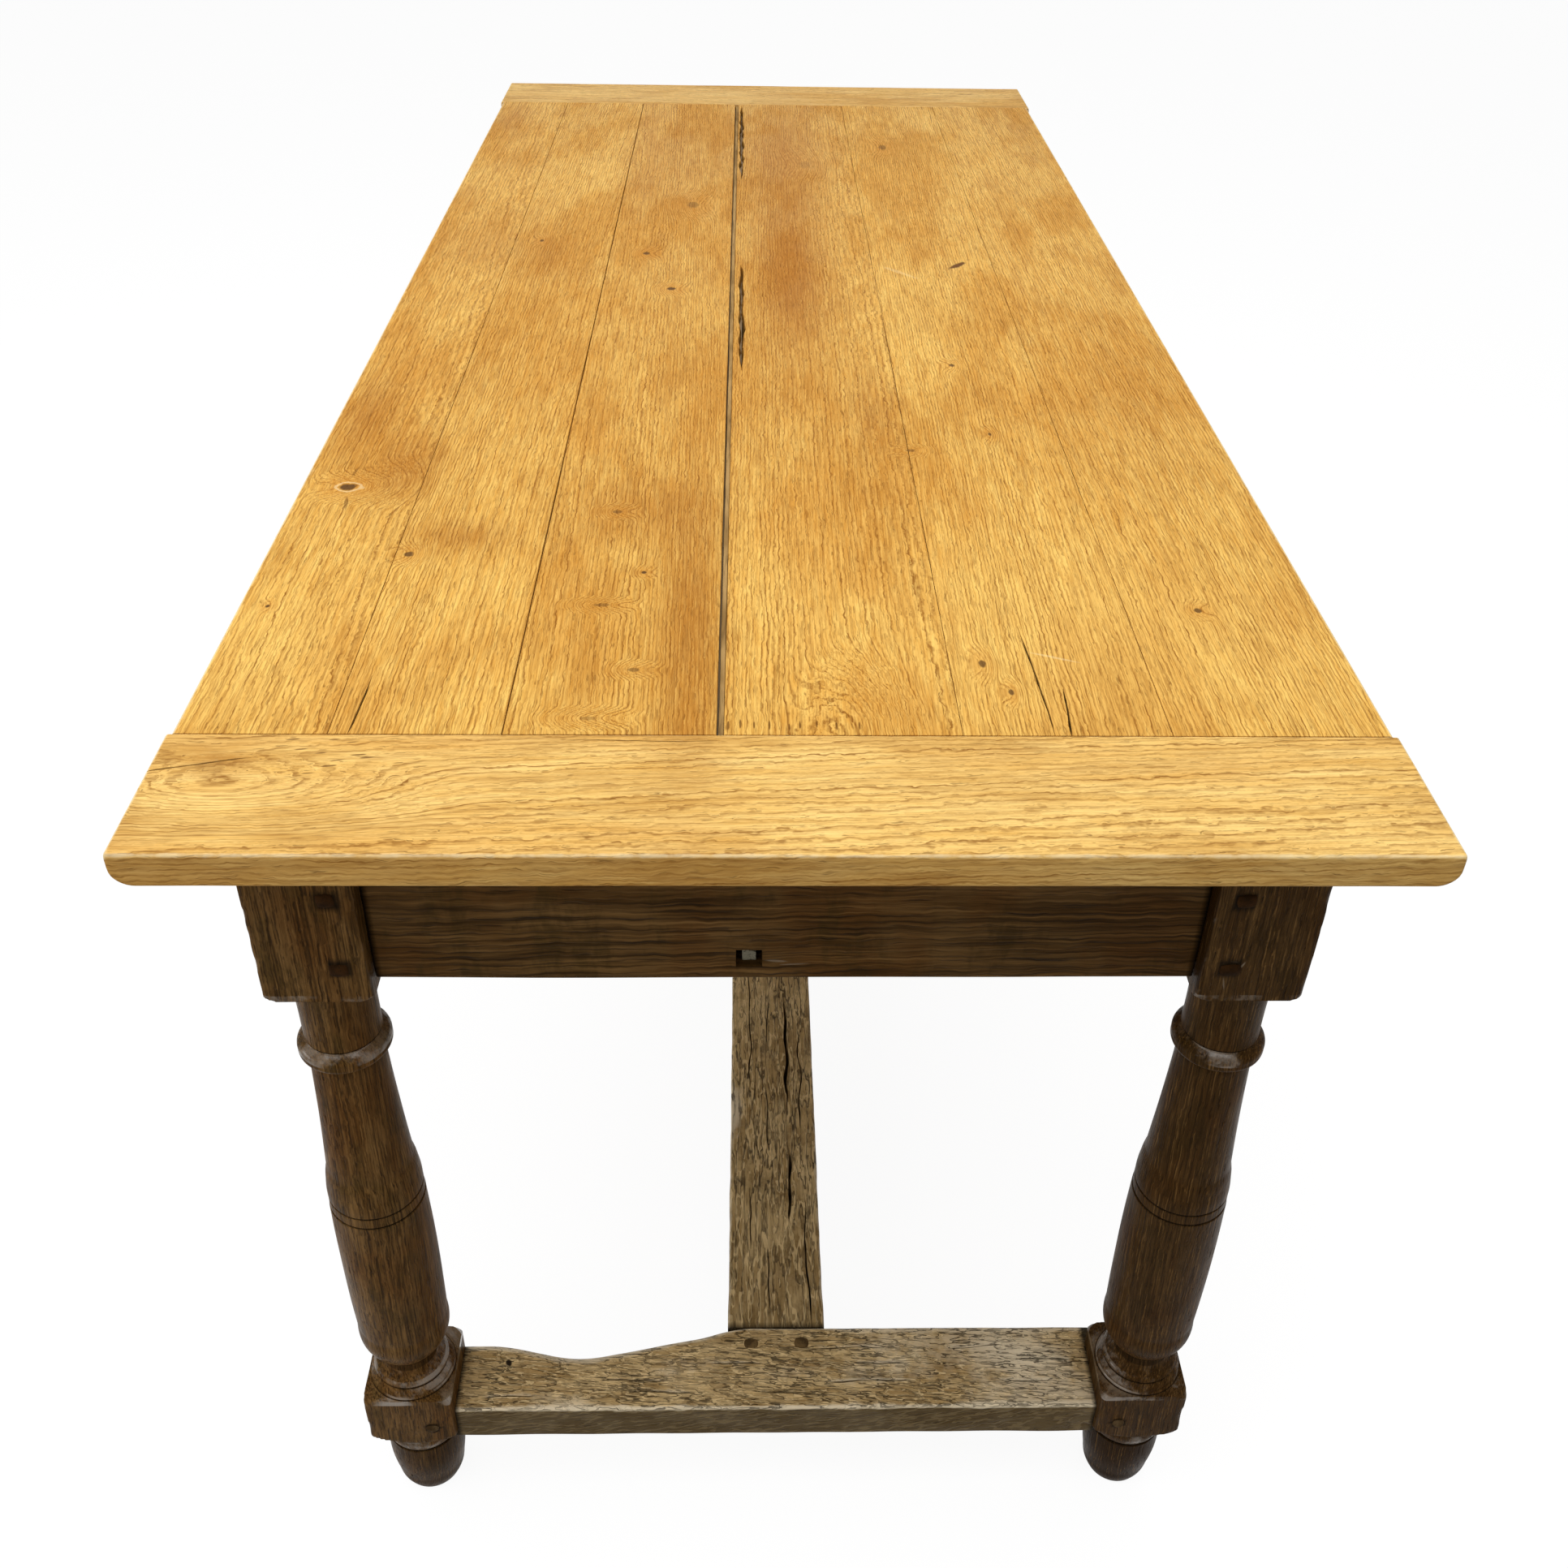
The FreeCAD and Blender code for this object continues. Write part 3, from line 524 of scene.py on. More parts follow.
def plank_loops(t, low, high, floor, top, rounds, checks=(), pitch=4 * mm, side=3):
    """Loops round a plank at places t along it: columns of across, height, their normals, wear, and dirt with
    painted shade in its cracks.
    """
    ones = np.ones_like(t)
    low, high, floor, top = [ones * value for value in (low, high, floor, top)]
    low_under, high_under, high_over, low_over = [ones * value for value in rounds]
    columns = []

    def put(u, z, nu, nz, worn=0.0, soot=0.0):
        columns.append([ones * value for value in (u, z, nu, nz, worn, soot)])

    def run(start, end, normal, count):
        for step in range(1, count):
            share = step / count
            put(start[0] + (end[0] - start[0]) * share, start[1] + (end[1] - start[1]) * share, *normal)

    def corner(centre_u, centre_z, radius, first, worn):
        for step in range(6):
            turn = math.radians(first + 18 * step)
            rim = math.sin(step / 5 * math.pi) * 0.65 + 0.35
            cosine, sine = math.cos(turn), math.sin(turn)
            put(centre_u + radius * cosine, centre_z + radius * sine, cosine, sine, worn * rim)

    def over(left, right):
        run((left, top), (right, top), (0, 1), max(2, int(round(np.mean(left - right) / pitch))))

    below = max(6, int(round(np.mean(high - low) / (2.5 * pitch))))
    run((low + low_under, floor), (high - high_under, floor), (0, -1), below)
    corner(high - high_under, floor + high_under, high_under, -90, under_wear)
    run((high, floor + high_under), (high, top - high_over), (1, 0), side)
    corner(high - high_over, top - high_over, high_over, 0, 1.0)
    left = high - high_over
    for check in sorted(checks, key=lambda item: -item.place):
        centre, gape = check.along(t)
        half, deep = check.half * np.maximum(gape, 0.15), check.deep * gape
        centre = np.minimum(centre, left - half - 1.2 * mm)
        over(left, centre + half)
        for shift, sink, worn, soot in crack_section:
            put(centre + shift * half, top - sink * deep, 0, 1, worn * gape, soot * gape)
        left = centre - half
    over(left, low + low_over)
    corner(low + low_over, top - low_over, low_over, 90, 1.0)
    run((low, top - low_over), (low, floor + low_under), (-1, 0), side)
    corner(low + low_under, floor + low_under, low_under, 180, under_wear)
    return np.moveaxis(np.array(columns), 2, 0)


def loft(points):
    """Faces through a row of loops, its ends filled, turned outwards."""
    stations, count = points.shape[:2]
    index = np.arange(stations * count).reshape(stations, count)
    here, there = index[:-1], index[1:]
    quads = np.stack((here, np.roll(here, -1, 1), np.roll(there, -1, 1), there), -1).reshape(-1, 4)
    flat = points.reshape(-1, 3)
    first, second, third = flat[quads[:, 0]], flat[quads[:, 1]], flat[quads[:, 2]]
    swell = np.sum(np.cross(second - first, third - first) * (first - flat.mean(0)))
    if swell < 0:
        quads = quads[:, ::-1]
        return quads.tolist() + [index[0].tolist(), index[-1][::-1].tolist()]
    return quads.tolist() + [index[0][::-1].tolist(), index[-1].tolist()]


def plane_by_hand(points, normals, amount, wave, seed):
    """Points moved a little inwards, as a plane and long use leave them."""
    rise = ripple(points, wave, seed) * 0.5 + 0.5
    return points - normals * (amount * unit(rise))[..., None]


def lay(loops, t, axis, planed=None):
    """Points, normals, wear, and dirt with painted shade, of plank loops laid along X (axis 0) or Y (axis 1).
    """
    across, height, across_normal, up_normal, worn, soot = np.moveaxis(loops, -1, 0)
    points, normals = np.zeros(across.shape + (3,)), np.zeros(across.shape + (3,))
    points[..., axis], points[..., 1 - axis], points[..., 2] = t[:, None], across, height
    normals[..., 1 - axis], normals[..., 2] = across_normal, up_normal
    if planed:
        points = plane_by_hand(points, normals, *planed)
    return points, normals, worn, soot


def new_object(name, data):
    thing = bpy.data.objects.new(name, data)
    bpy.context.scene.collection.objects.link(thing)
    return thing


def settle(piece, node):
    """A piece's place in the frame: its body and the solid it stands for."""
    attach(piece, "root")
    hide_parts(node)


def build(name, points, finish, slot, node, sharp=38, **marks):
    """A finished piece, lofted through its loops, with the marks that its finish reads."""
    mesh = bpy.data.meshes.new(name)
    mesh.from_pydata(points.reshape(-1, 3).tolist(), [], loft(points))
    mesh.shade_smooth()
    mesh.set_sharp_from_angle(angle=math.radians(sharp))
    for mark, values in marks.items():
        kind, key = ("FLOAT_VECTOR", "vector") if mark == "grain" else ("FLOAT", "value")
        values = unit(values) if mark in ("worn", "soot") else values
        layer = mesh.attributes.new(mark, kind, "POINT")
        layer.data.foreach_set(key, np.asarray(values, dtype=np.float32).ravel())
    mesh.materials.append(finish)
    settle(new_object(name, mesh), node)


def log_place(points, axis, pith, tilt):
    """Where each point lies in its log: across, along and up from the pith, which leans by tilt."""
    first, second = [other for other in (0, 1, 2) if other != axis]
    along = points[..., axis]
    across = points[..., first] - pith[0] * mm - along * tilt[0]
    up = points[..., second] - pith[1] * mm - along * tilt[1]
    return np.stack((across, along, up), -1)


def even(start, end, pitch):
    return np.linspace(start, end, max(2, int(round((end - start) / pitch)) + 1))


def turned_out(sign, outer, inner, rounds):
    """Edges and rounds of a rail, given for the near or left side, turned to face its own side."""
    if sign < 0:
        return -outer, -inner, rounds
    return inner, outer, (rounds[1], rounds[0], rounds[3], rounds[2])


# Top boards

def board_edges(node, y_sign):
    """Left and right edge of a board at one end, from its solid."""
    spots = np.array([vertex.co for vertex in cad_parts[node].data.vertices])
    rim = spots[(spots[:, 2] > table_height - 3 * mm) & (spots[:, 1] * y_sign > field_end - 6 * mm)]
    return rim[:, 0].min(), rim[:, 0].max()


board_logs = [
    ((-248, 640), (0.012, 0.014)),
    ((-75, 655), (0.012, -0.010)),
    ((-290, 640), (-0.022, 0.010)),
    ((165, 640), (0.018, 0.016)),
    ((370, 650), (0.016, 0.012)),
    ((150, 660), (-0.016, 0.010)),
]
board_checks = {
    4: [Check(-215, 838, -33, -37, 3.5, 14, 31, spans=[(-215, 92), (440, 838)], jag=2.2)],
    5: [Check(-846, -706, 174.5, 169, 0.9, 6, 33), Check(-846, -790, 184.5, 188, 0.9, 5, 35)],
    2: [Check(-846, -778, -284, -281, 0.9, 5, 34)],
}
board_tones = (0.0, -0.02, 0.07, 0.05, -0.08, -0.04)
joint_close = (0.12, 0.0, 0.0, 0.18, 0.17)
joint_soft = (0.5, 0.9, 1.3, 0.35, 0.35)
joint_play = 0.16 * mm
joint_shade = 2.5 * mm
board_under = 2 * mm
board_over = 2.6 * mm


class Smudge:
    """A soft spot seen from above: darker or, below zero, paler, with its reach across and along."""

    def __init__(self, x, y, wide, long, strength):
        self.x, self.y = x * mm, y * mm
        self.wide, self.long = wide * mm, long * mm
        self.strength = strength

    def at(self, points):
        across = (points[..., 0] - self.x) / self.wide
        along = (points[..., 1] - self.y) / self.long
        return self.strength * np.exp(-(across * across + along * along))


top_smudges = [
    Smudge(-318, -450, 30, 70, 0.58),
    Smudge(-250, -570, 38, 26, 0.55),
    Smudge(-120, -525, 60, 60, 0.40),
    Smudge(-66, -700, 28, 180, 0.75),
    Smudge(22, 60, 40, 240, 0.70),
    Smudge(20, 560, 60, 280, 0.50),
    Smudge(85, -320, 18, 90, 0.35),
    Smudge(-372, -330, 26, 80, 0.55),
    Smudge(-330, 160, 50, 110, 0.30),
    Smudge(-250, 120, 34, 95, 0.35),
    Smudge(330, -330, 40, 160, 0.15),
    Smudge(-150, 520, 70, 240, 0.26),
    Smudge(240, 430, 70, 280, 0.12),
    Smudge(360, 650, 34, 170, 0.12),
    Smudge(-370, 730, 30, 90, 0.35),
    Smudge(-10, -640, 60, 130, -0.25),
    Smudge(190, -700, 120, 130, -0.30),
    Smudge(160, -60, 50, 120, -0.30),
    Smudge(-360, -750, 44, 95, -0.40),
    Smudge(330, -700, 60, 120, -0.20),
    Smudge(-230, 480, 40, 160, -0.25),
    Smudge(230, 430, 130, 330, -0.14),
    Smudge(-358, -877, 22, 20, 0.60),
    Smudge(-398, -925, 14, 34, 0.22),
    Smudge(-340, -910, 60, 12, -0.45),
]
deep_places = (-700 * mm, -350 * mm, 0.0, cap_inner)
deep_amounts = (0.0, 0.15, 0.13, 0.07)


def smudged(points):
    """Tone of the top: its smudges, and a middle that is deeper in colour."""
    deep = np.interp(points[..., 1], deep_places, deep_amounts)
    return np.clip(sum(smudge.at(points) for smudge in top_smudges) + deep, -0.6, 0.75)


def make_boards():
    t = even(-field_end, field_end, 7 * mm)
    share = (t + field_end) / (2 * field_end)
    for number in range(1, 7):
        node = f"top_board_{number}"
        near, far = board_edges(node, -1), board_edges(node, 1)
        edges = [near[side] + (far[side] - near[side]) * share for side in (0, 1)]
        rounds = [board_under, board_under, board_over, board_over]
        for side, inward in ((0, 1), (1, -1)):
            joint = number - 2 + side
            if joint in range(5):
                uneven = 0.5 + 0.5 * sway(t, 90, number * 3 + side)
                edges[side] = edges[side] - inward * joint_close[joint] * mm + inward * joint_play * uneven
                rounds[3 - side] = joint_soft[joint] * mm * (0.6 + 0.8 * uneven)
            else:
                rounds[side] = under_round
        loops = plank_loops(t, *edges, top_under, table_height, rounds, board_checks.get(number, ()))
        planed = (0.3 * mm, (70, 170, 70), 1)
        points, normals, worn, soot = lay(loops, t, 1, planed)
        outside = np.abs(points[..., 0]) > field_edge
        # Painted shade: the faces that do not look up are darker, and so are the board sides down in the
        # joints
        tone = smudged(points) + board_tones[number - 1] + (normals[..., 2] < 0.3) * 0.15
        inside = ~outside * (points[..., 2] < table_height - joint_shade) * (np.abs(normals[..., 0]) > 0.8)
        grain = log_place(points, 1, *board_logs[number - 1])
        build(f"plank_{number}", points, honey_oak, "oak_top", node, grain=grain,
              worn=worn * outside, soot=np.maximum(soot, inside * 0.9), tone=tone)


# End caps

def end_stations(half, radius, pitch):
    """Places along a piece with its ends rounded: close together where it rounds."""
    bend = half - radius + radius * np.sin(np.radians(np.linspace(8, 90, 9)))
    middle = even(-half + radius, half - radius, pitch)
    return np.concatenate((-bend[::-1], middle, bend))


def end_drop(t, half, radius):
    over = np.clip(np.abs(t) - (half - radius), 0, radius)
    return radius - np.sqrt(np.maximum(radius * radius - over * over, 0))


cap_lip = 2.4 * mm
cap_wear = 0.7 * mm
cap_logs = {"near": ((-1010, 640), (0.03, 0.02)), "far": ((1015, 650), (-0.02, 0.02))}
cap_checks = {
    "near": [Check(-403, -341, -887, -872, 1.0, 6, 41), Check(-150, -40, -851.5, -852, 0.5, 3, 42)],
    "far": [Check(120, 260, 900, 905, 0.6, 4, 43)],
}


def make_caps():
    t = end_stations(cap_half, under_round, 6 * mm)
    drop = end_drop(t, cap_half, under_round)
    lip = end_drop(t, cap_half, cap_lip)
    for end, sign in ends:
        wear = cap_wear * (0.5 + 0.5 * sway(t, 45, 50 + sign))
        outer = cap_outer - lip - wear * 0.6
        rounds = (3 * mm, 2 * mm, 1 * mm, 2.2 * mm + wear * 1.5)
        low, high, rounds = turned_out(sign, outer, cap_inner, rounds)
        floor, top = top_under + drop, table_height - lip
        loops = plank_loops(t, low, high, floor, top, rounds, cap_checks[end], side=5)
        planed = (0.5 * mm, (150, 60, 60), 60 + sign)
        points, normals, worn, soot = lay(loops, t, 0, planed)
        at_end = unit((np.abs(points[..., 0]) - cap_half + 3 * mm) / (2 * mm))
        rim = np.maximum(0.62 * worn, 0.8 * at_end * (points[..., 2] > table_height - 5 * mm))
        # Painted shade on the faces that do not look up
        tone = smudged(points) + (normals[..., 2] < 0.3) * 0.28
        grain = log_place(points, 0, *cap_logs[end])
        build(f"cap_board_{end}", points, straw_oak, "oak_top", f"end_cap_{end}",
              grain=grain, worn=rim, soot=soot, tone=tone)


# Turned legs

def turned_profile():
    """Rows of height, radius, block share, wear with painted highlights, and dirt with painted shade in
    grooves and under mouldings, from the top down, in millimetres.
    """
    rows = []

    def run(z0, r0, z1, r1, count, bulge=0.0, block=0.0, worn=0.0, soot=0.0):
        for step in range(count + 1):
            share = step / count
            radius = r0 + (r1 - r0) * share + bulge * math.sin(share * math.pi)
            rows.append((z0 + (z1 - z0) * share, radius, block, worn, soot))

    corner = 60.0
    run(735, corner, 612, corner, 26, block=1)
    run(611, 50.5, 606.4, 47.0, 4, bulge=0.9, block=1, worn=0.5)
    run(606, 46, 606, 28.5, 2, block=1, soot=0.3)
    run(605.6, 27.9, 548.6, 27.3, 16, bulge=-0.5)
    run(547.6, 26.6, 547.2, 26.6, 1, soot=0.75)
    # The ring's upper half paler with wear than its lower half, partly painted highlight
    run(546.8, 26.8, 538.4, 32.8, 10, bulge=2.2, worn=0.6)
    run(537.6, 32.8, 529.2, 26.8, 10, bulge=2.2, worn=0.15)
    run(528.8, 26.3, 528.2, 26.3, 1, soot=0.75)
    run(527.6, 26.6, 416, 32.0, 30, bulge=-0.5)
    run(413, 32.3, 398.5, 34.7, 7, bulge=0.35)
    run(396.5, 35.0, 383.4, 35.7, 5, bulge=0.25)
    run(382.6, 34.9, 381.8, 34.7, 2, soot=0.9)
    run(381, 35.7, 373.2, 35.9, 4)
    run(372.4, 34.9, 371.6, 34.9, 2, soot=0.9)
    run(370.8, 36.3, 226, 36.4, 30, bulge=1.0)
    run(224, 36.2, 184, 24.6, 16, bulge=5.2)
    run(183, 23.6, 181, 23, 2, soot=0.7)
    run(180, 22.8, 174, 22.9, 4, bulge=-0.5, soot=0.5)
    run(173, 23.2, 166.2, 28.6, 7, bulge=-0.9, worn=0.45)
    run(165.8, 29.0, 160.4, 30.4, 7, bulge=1.4, worn=0.8)
    run(160, 29.8, 159, 29.9, 2, soot=0.85)
    run(158.4, 30.6, 153, 34.4, 6, bulge=1.2, worn=0.7)
    run(152.6, 34.9, 151.4, 35.4, 2, worn=0.95)
    run(151, 35.6, 150.4, 35.7, 1, soot=0.8)
    run(150.2, 36.4, 150, 44.5, 3, block=1, worn=0.75)
    run(149.6, 46.6, 145, 50.4, 5, block=1, worn=1.0)
    run(144, corner, 108, corner, 16, block=1)
    run(107, 51.6, 91, 38.6, 10, bulge=4.6, block=1, worn=0.2)
    run(90.4, 37.0, 89.8, 33.2, 2, block=1, soot=0.4)
    run(89, 33.0, 72, 32.2, 10, bulge=1.6, worn=0.7)
    run(71.2, 30.6, 68.2, 30.4, 3, soot=0.95)
    run(67.4, 31.8, 20, 29.6, 16, bulge=1.7)
    run(17, 29.2, 2, 25.2, 5, bulge=0.8, soot=0.15)
    run(0.6, 24.6, 0, 23.6, 1)
    return np.array(rows)


def leg_angles():
    """Turns round a leg, closer together at the corners of its blocks."""
    plain = np.arange(0, 360, 3.75)
    near_corner = [45 + quarter * 90 + off for quarter in range(4) for off in (-2.4, -1.2, 1.2, 2.4)]
    return np.radians(np.sort(np.concatenate((plain, near_corner))))


leg_logs = {
    "near_left": ((70, 74), (0.012, 0.05)),
    "near_right": ((-88, 66), (-0.012, 0.04)),
    "far_left": ((-70, 22), (0.08, 0.02)),
    "far_right": ((64, -40), (-0.06, -0.03)),
}
peg_shadow_wide = 7.6 * mm
peg_shadow_high = 6.6 * mm
stud_shadow = 6.8 * mm
arris_round = 1.4 * mm
face_from = 30 * mm
block_low = 612 * mm
foot_top = 67.5 * mm
leg_figure = 0.9
apron_figure = 0.45


def make_legs():
    angles = leg_angles()
    height, radii, block, rubbing_and_glint, groove_shade = [column[:, None] for column in turned_profile().T]
    cosine, sine = np.cos(angles), np.sin(angles)
    reach = np.maximum(np.abs(cosine), np.abs(sine))
    edge = unit((1 / reach - 1.30) / 0.114)
    z = np.repeat(height * mm, len(angles), 1)
    arris = np.stack(np.broadcast_arrays(z, cosine[None] * 0.03, sine[None] * 0.03), -1)
    for number, (end, sign_x, sign_y) in enumerate(leg_ends):
        seed = number * 4 + 70
        bruise = unit(ripple(arris, (16, 18, 18), seed)) * 2.6 * mm
        square = (leg_half / reach)[None] - edge[None] ** 2 * (arris_round + bruise)
        radius = np.repeat(radii, len(angles), 1) * mm
        radius = np.where(block > 0.5, np.minimum(radius, square), radius)
        points = np.stack((radius * cosine, radius * sine, z), -1)
        outward = np.stack((cosine, sine, cosine * 0), -1)[None] * np.ones_like(points)
        points = plane_by_hand(points, outward, 0.55 * mm, (26, 26, 60), seed + 1)
        lift = 1.1 * ripple(points, (24, 24, 18), seed + 2) + 0.6
        # Less pale wear on the outer sides of the right legs, painted as sides turned from the light
        lift = unit(lift - 0.25 * (cosine[None] * sign_x > 0.2) * (sign_x > 0))
        worn = (rubbing_and_glint + 0.35 * edge[None] * block) * lift
        soot = np.repeat(groove_shade, len(angles), 1)
        side_x, side_y, up = points[..., 0] * sign_x, points[..., 1] * sign_y, points[..., 2]
        # Painted shadow round each peg head and stud
        for peg_z in peg_heights:
            for across, out in ((side_x, side_y), (side_y, side_x)):
                off = np.maximum(np.abs(across + peg_off) / peg_shadow_wide, np.abs(up - peg_z) / peg_shadow_high)
                soot = np.maximum(soot, 0.85 * (off < 1) * (out > face_from))
        off = np.hypot(side_x + peg_off, up - stud_height)
        soot = np.maximum(soot, 0.85 * (off < stud_shadow) * (side_y > face_from))
        grain = leg_figure * log_place(points, 2, *leg_logs[end])
        points[..., 0] += sign_x * leg_x
        points[..., 1] += sign_y * leg_y
        # Painted shade on the inner faces of the blocks under the apron and over the whole of the right legs;
        # the feet darker
        face_in = sign_x * (points[..., 0] - sign_x * shoulder_x)
        by_joint = (face_in < 2 * mm) * (points[..., 2] > block_low)
        foot = 0.6 * (points[..., 2] < foot_top)
        tone = unit(0.35 * by_joint + foot + (0.64 if sign_x > 0 else 0.05))
        build(f"turned_leg_{end}", points, dark_oak, "oak_frame", f"leg_{end}", 32,
              grain=grain, worn=worn, soot=soot, tone=tone)


# Aprons

slot_play = 3 * mm
(plug_left, _, plug_low), (plug_right, _, plug_high) = solid_box("apron_plug")
slot_x = (plug_left - slot_play, plug_right + slot_play)
slot_z = (plug_low, plug_high)
slot_deep = 13 * mm
slot_lip = 0.2 * mm
apron_rounds = (2.2 * mm, 1.5 * mm, 1 * mm, 1 * mm)
apron_shaded = 722 * mm
apron_edge = 617 * mm
tenon_reach = 24 * mm
tenon_in = 7 * mm
shrink_gap = 0.3 * mm
seam_shade_reach = 1.2 * mm
end_plan = SimpleNamespace(
    kind="end", axis=0, outer=apron_outer_y, shoulder=shoulder_x, pitch=5 * mm, side=40,
    sag=1.0 * mm, sag_wave=140, seed=90, planed=(120, 40, 24),
    pith=(900, 560), lean=(0.01, 0.012), worn=0.6,
)
side_plan = SimpleNamespace(
    kind="side", axis=1, outer=apron_outer_x, shoulder=shoulder_y, pitch=8 * mm, side=16,
    sag=1.2 * mm, sag_wave=200, seed=100, planed=(40, 150, 24),
    pith=(318, 540), lean=(0.006, 0.010), worn=0.5,
)


def tenoned(t_inner, shoulder):
    """Places along a rail: its face between the shoulders, then a thinner tenon at each end."""
    face = shoulder - shrink_gap
    tail = np.array([face - 0.8 * mm, face, face + 0.02 * mm, shoulder + tenon_reach])
    return np.concatenate((-tail[::-1], t_inner[np.abs(t_inner) < face - 2 * mm], tail))


def tenon_inset(t, shoulder):
    """How far the section draws in: a little at the shoulder's arris, and to the tenon beyond it."""
    face = shoulder - shrink_gap
    inset = np.where(np.abs(t) > face - 0.4 * mm, 0.6 * mm, 0.0)
    return np.where(np.abs(t) > face + 0.01 * mm, tenon_in, inset)


def make_apron(where, sign, plan):
    t = even(-plan.shoulder, plan.shoulder, plan.pitch)
    if where == "near":
        lips = [edge + off for edge in slot_x for off in (-slot_lip, slot_lip)]
        t = np.sort(np.concatenate((t, lips)))
    t = tenoned(t, plan.shoulder)
    inset = tenon_inset(t, plan.shoulder)
    sag = plan.sag * sway(t, plan.sag_wave, plan.seed + sign)
    outer, inner = plan.outer - inset, plan.outer - apron_thick + inset
    low, high, rounds = turned_out(sign, outer, inner, apron_rounds)
    floor = apron_low + inset + unit(sag)
    loops = plank_loops(t, low, high, floor, top_under, rounds, side=plan.side)
    planed = (0.8 * mm, plan.planed, plan.seed + 2 + sign)
    points, normals, worn, soot = lay(loops, t, plan.axis, planed)
    x, y, z = np.moveaxis(points, -1, 0)
    # Painted shade at the shoulders, where the apron meets the legs
    soot = soot + (np.abs(points[..., plan.axis]) > plan.shoulder - seam_shade_reach) * 0.9
    # Painted shade under the top; the end aprons also darker overall, towards their lower edge and towards
    # the right
    tone = (z > apron_shaded) * 0.35
    if plan.kind == "end":
        tone = tone + (z < apron_edge) * 0.2 + 0.22 + 0.25 * unit(x / shoulder_x)
    # Painted shade in the slot
    if where == "near":
        inside = (x > slot_x[0]) & (x < slot_x[1]) & (z > slot_z[0]) & (z < slot_z[1])
        inside &= normals[..., 1] < -0.9
        y[inside] += slot_deep
        soot = np.where(inside, 0.8, soot)
    pith, lean = (sign * plan.pith[0], plan.pith[1]), (sign * plan.lean[0], plan.lean[1])
    grain = apron_figure * log_place(points, plan.axis, pith, lean)
    build(f"apron_board_{where}", points, dark_oak, "oak_frame", f"{plan.kind}_apron_{where}",
          grain=grain, worn=worn * plan.worn, soot=soot, tone=tone)


# Stretchers

wane_places = np.array((-275, -235, -215, -183, -161, -126, -88, -55, -38)) * mm
wane_cuts = np.array((13.5, 14, 18, 25, 25, 19, 11.5, 6, 0)) * mm
end_checks = {
    "near": jagged_checks(
        3.6,
        (-262, 60, -912, -909, 0.8, 5, 111, [(-250, -205), (-130, -70), (-20, 30)]),
        (-150, 268, -898, -901, 1.0, 7, 112, [(-150, -95), (40, 120), (190, 240)]),
        (-60, 262, -882, -880, 0.9, 6, 114, [(-60, -10), (70, 110), (205, 258)]),
        (-30, 240, -868, -866, 0.9, 6, 115, [(30, 95), (150, 200)]),
    ),
    "far": jagged_checks(
        3.6,
        (-250, 30, 905, 908, 0.9, 6, 117, [(-250, -180), (-60, 30)]),
        (-100, 262, 888, 885, 1.0, 7, 118, [(-100, 0), (120, 250)]),
        (-230, 200, 868, 866, 0.8, 6, 119, [(-210, -120), (60, 180)]),
    ),
}
spine_checks = jagged_checks(
    3.4,
    (-846, -250, 31, 26, 1.0, 7, 121, [(-846, -700), (-620, -480), (-400, -300)]),
    (-728, 420, 15, 14, 2.2, 10, 122, [(-728, -645), (-590, -430), (-300, 120), (200, 420)]),
    (-846, -420, -6, -4, 0.8, 6, 123, [(-830, -760), (-640, -560), (-500, -430)]),
    (-760, 300, -24, -20, 0.9, 6, 124, [(-760, -690), (-560, -380), (-200, 300)]),
    (-100, 800, 30, 27, 1.0, 7, 125, [(-100, 240), (400, 800)]),
    (80, 840, -10, -14, 0.9, 6, 126, [(80, 380), (520, 840)]),
)
# Painted light and shade along the long rail, from its near end
spine_shading_places = (-stretcher_inner, -700 * mm, -560 * mm, -400 * mm)
spine_shading_tones = (0.36, 0.13, -0.10, -0.24)
scribe = 6.5 * mm
tenon_back = 24 * mm
spine_figure = 0.62
glint_x = 205 * mm
glint_reach = 60 * mm
nibble_deep = 1.2 * mm
chip_least = 3.0 * mm
chip_more = 3.2 * mm
spine_play = 0.4 * mm
spine_round = 2.6 * mm
spine_nibble = 1.6 * mm
torn_edge = Smudge(-40, -593, 10, 34, 1.0)


def wane(t):
    """How much the near stretcher's inner edge falls short, as a smooth line through the places."""
    offsets = np.linspace(-16 * mm, 16 * mm, 9)
    return np.mean([np.interp(t + offset, wane_places, wane_cuts) for offset in offsets], 0)


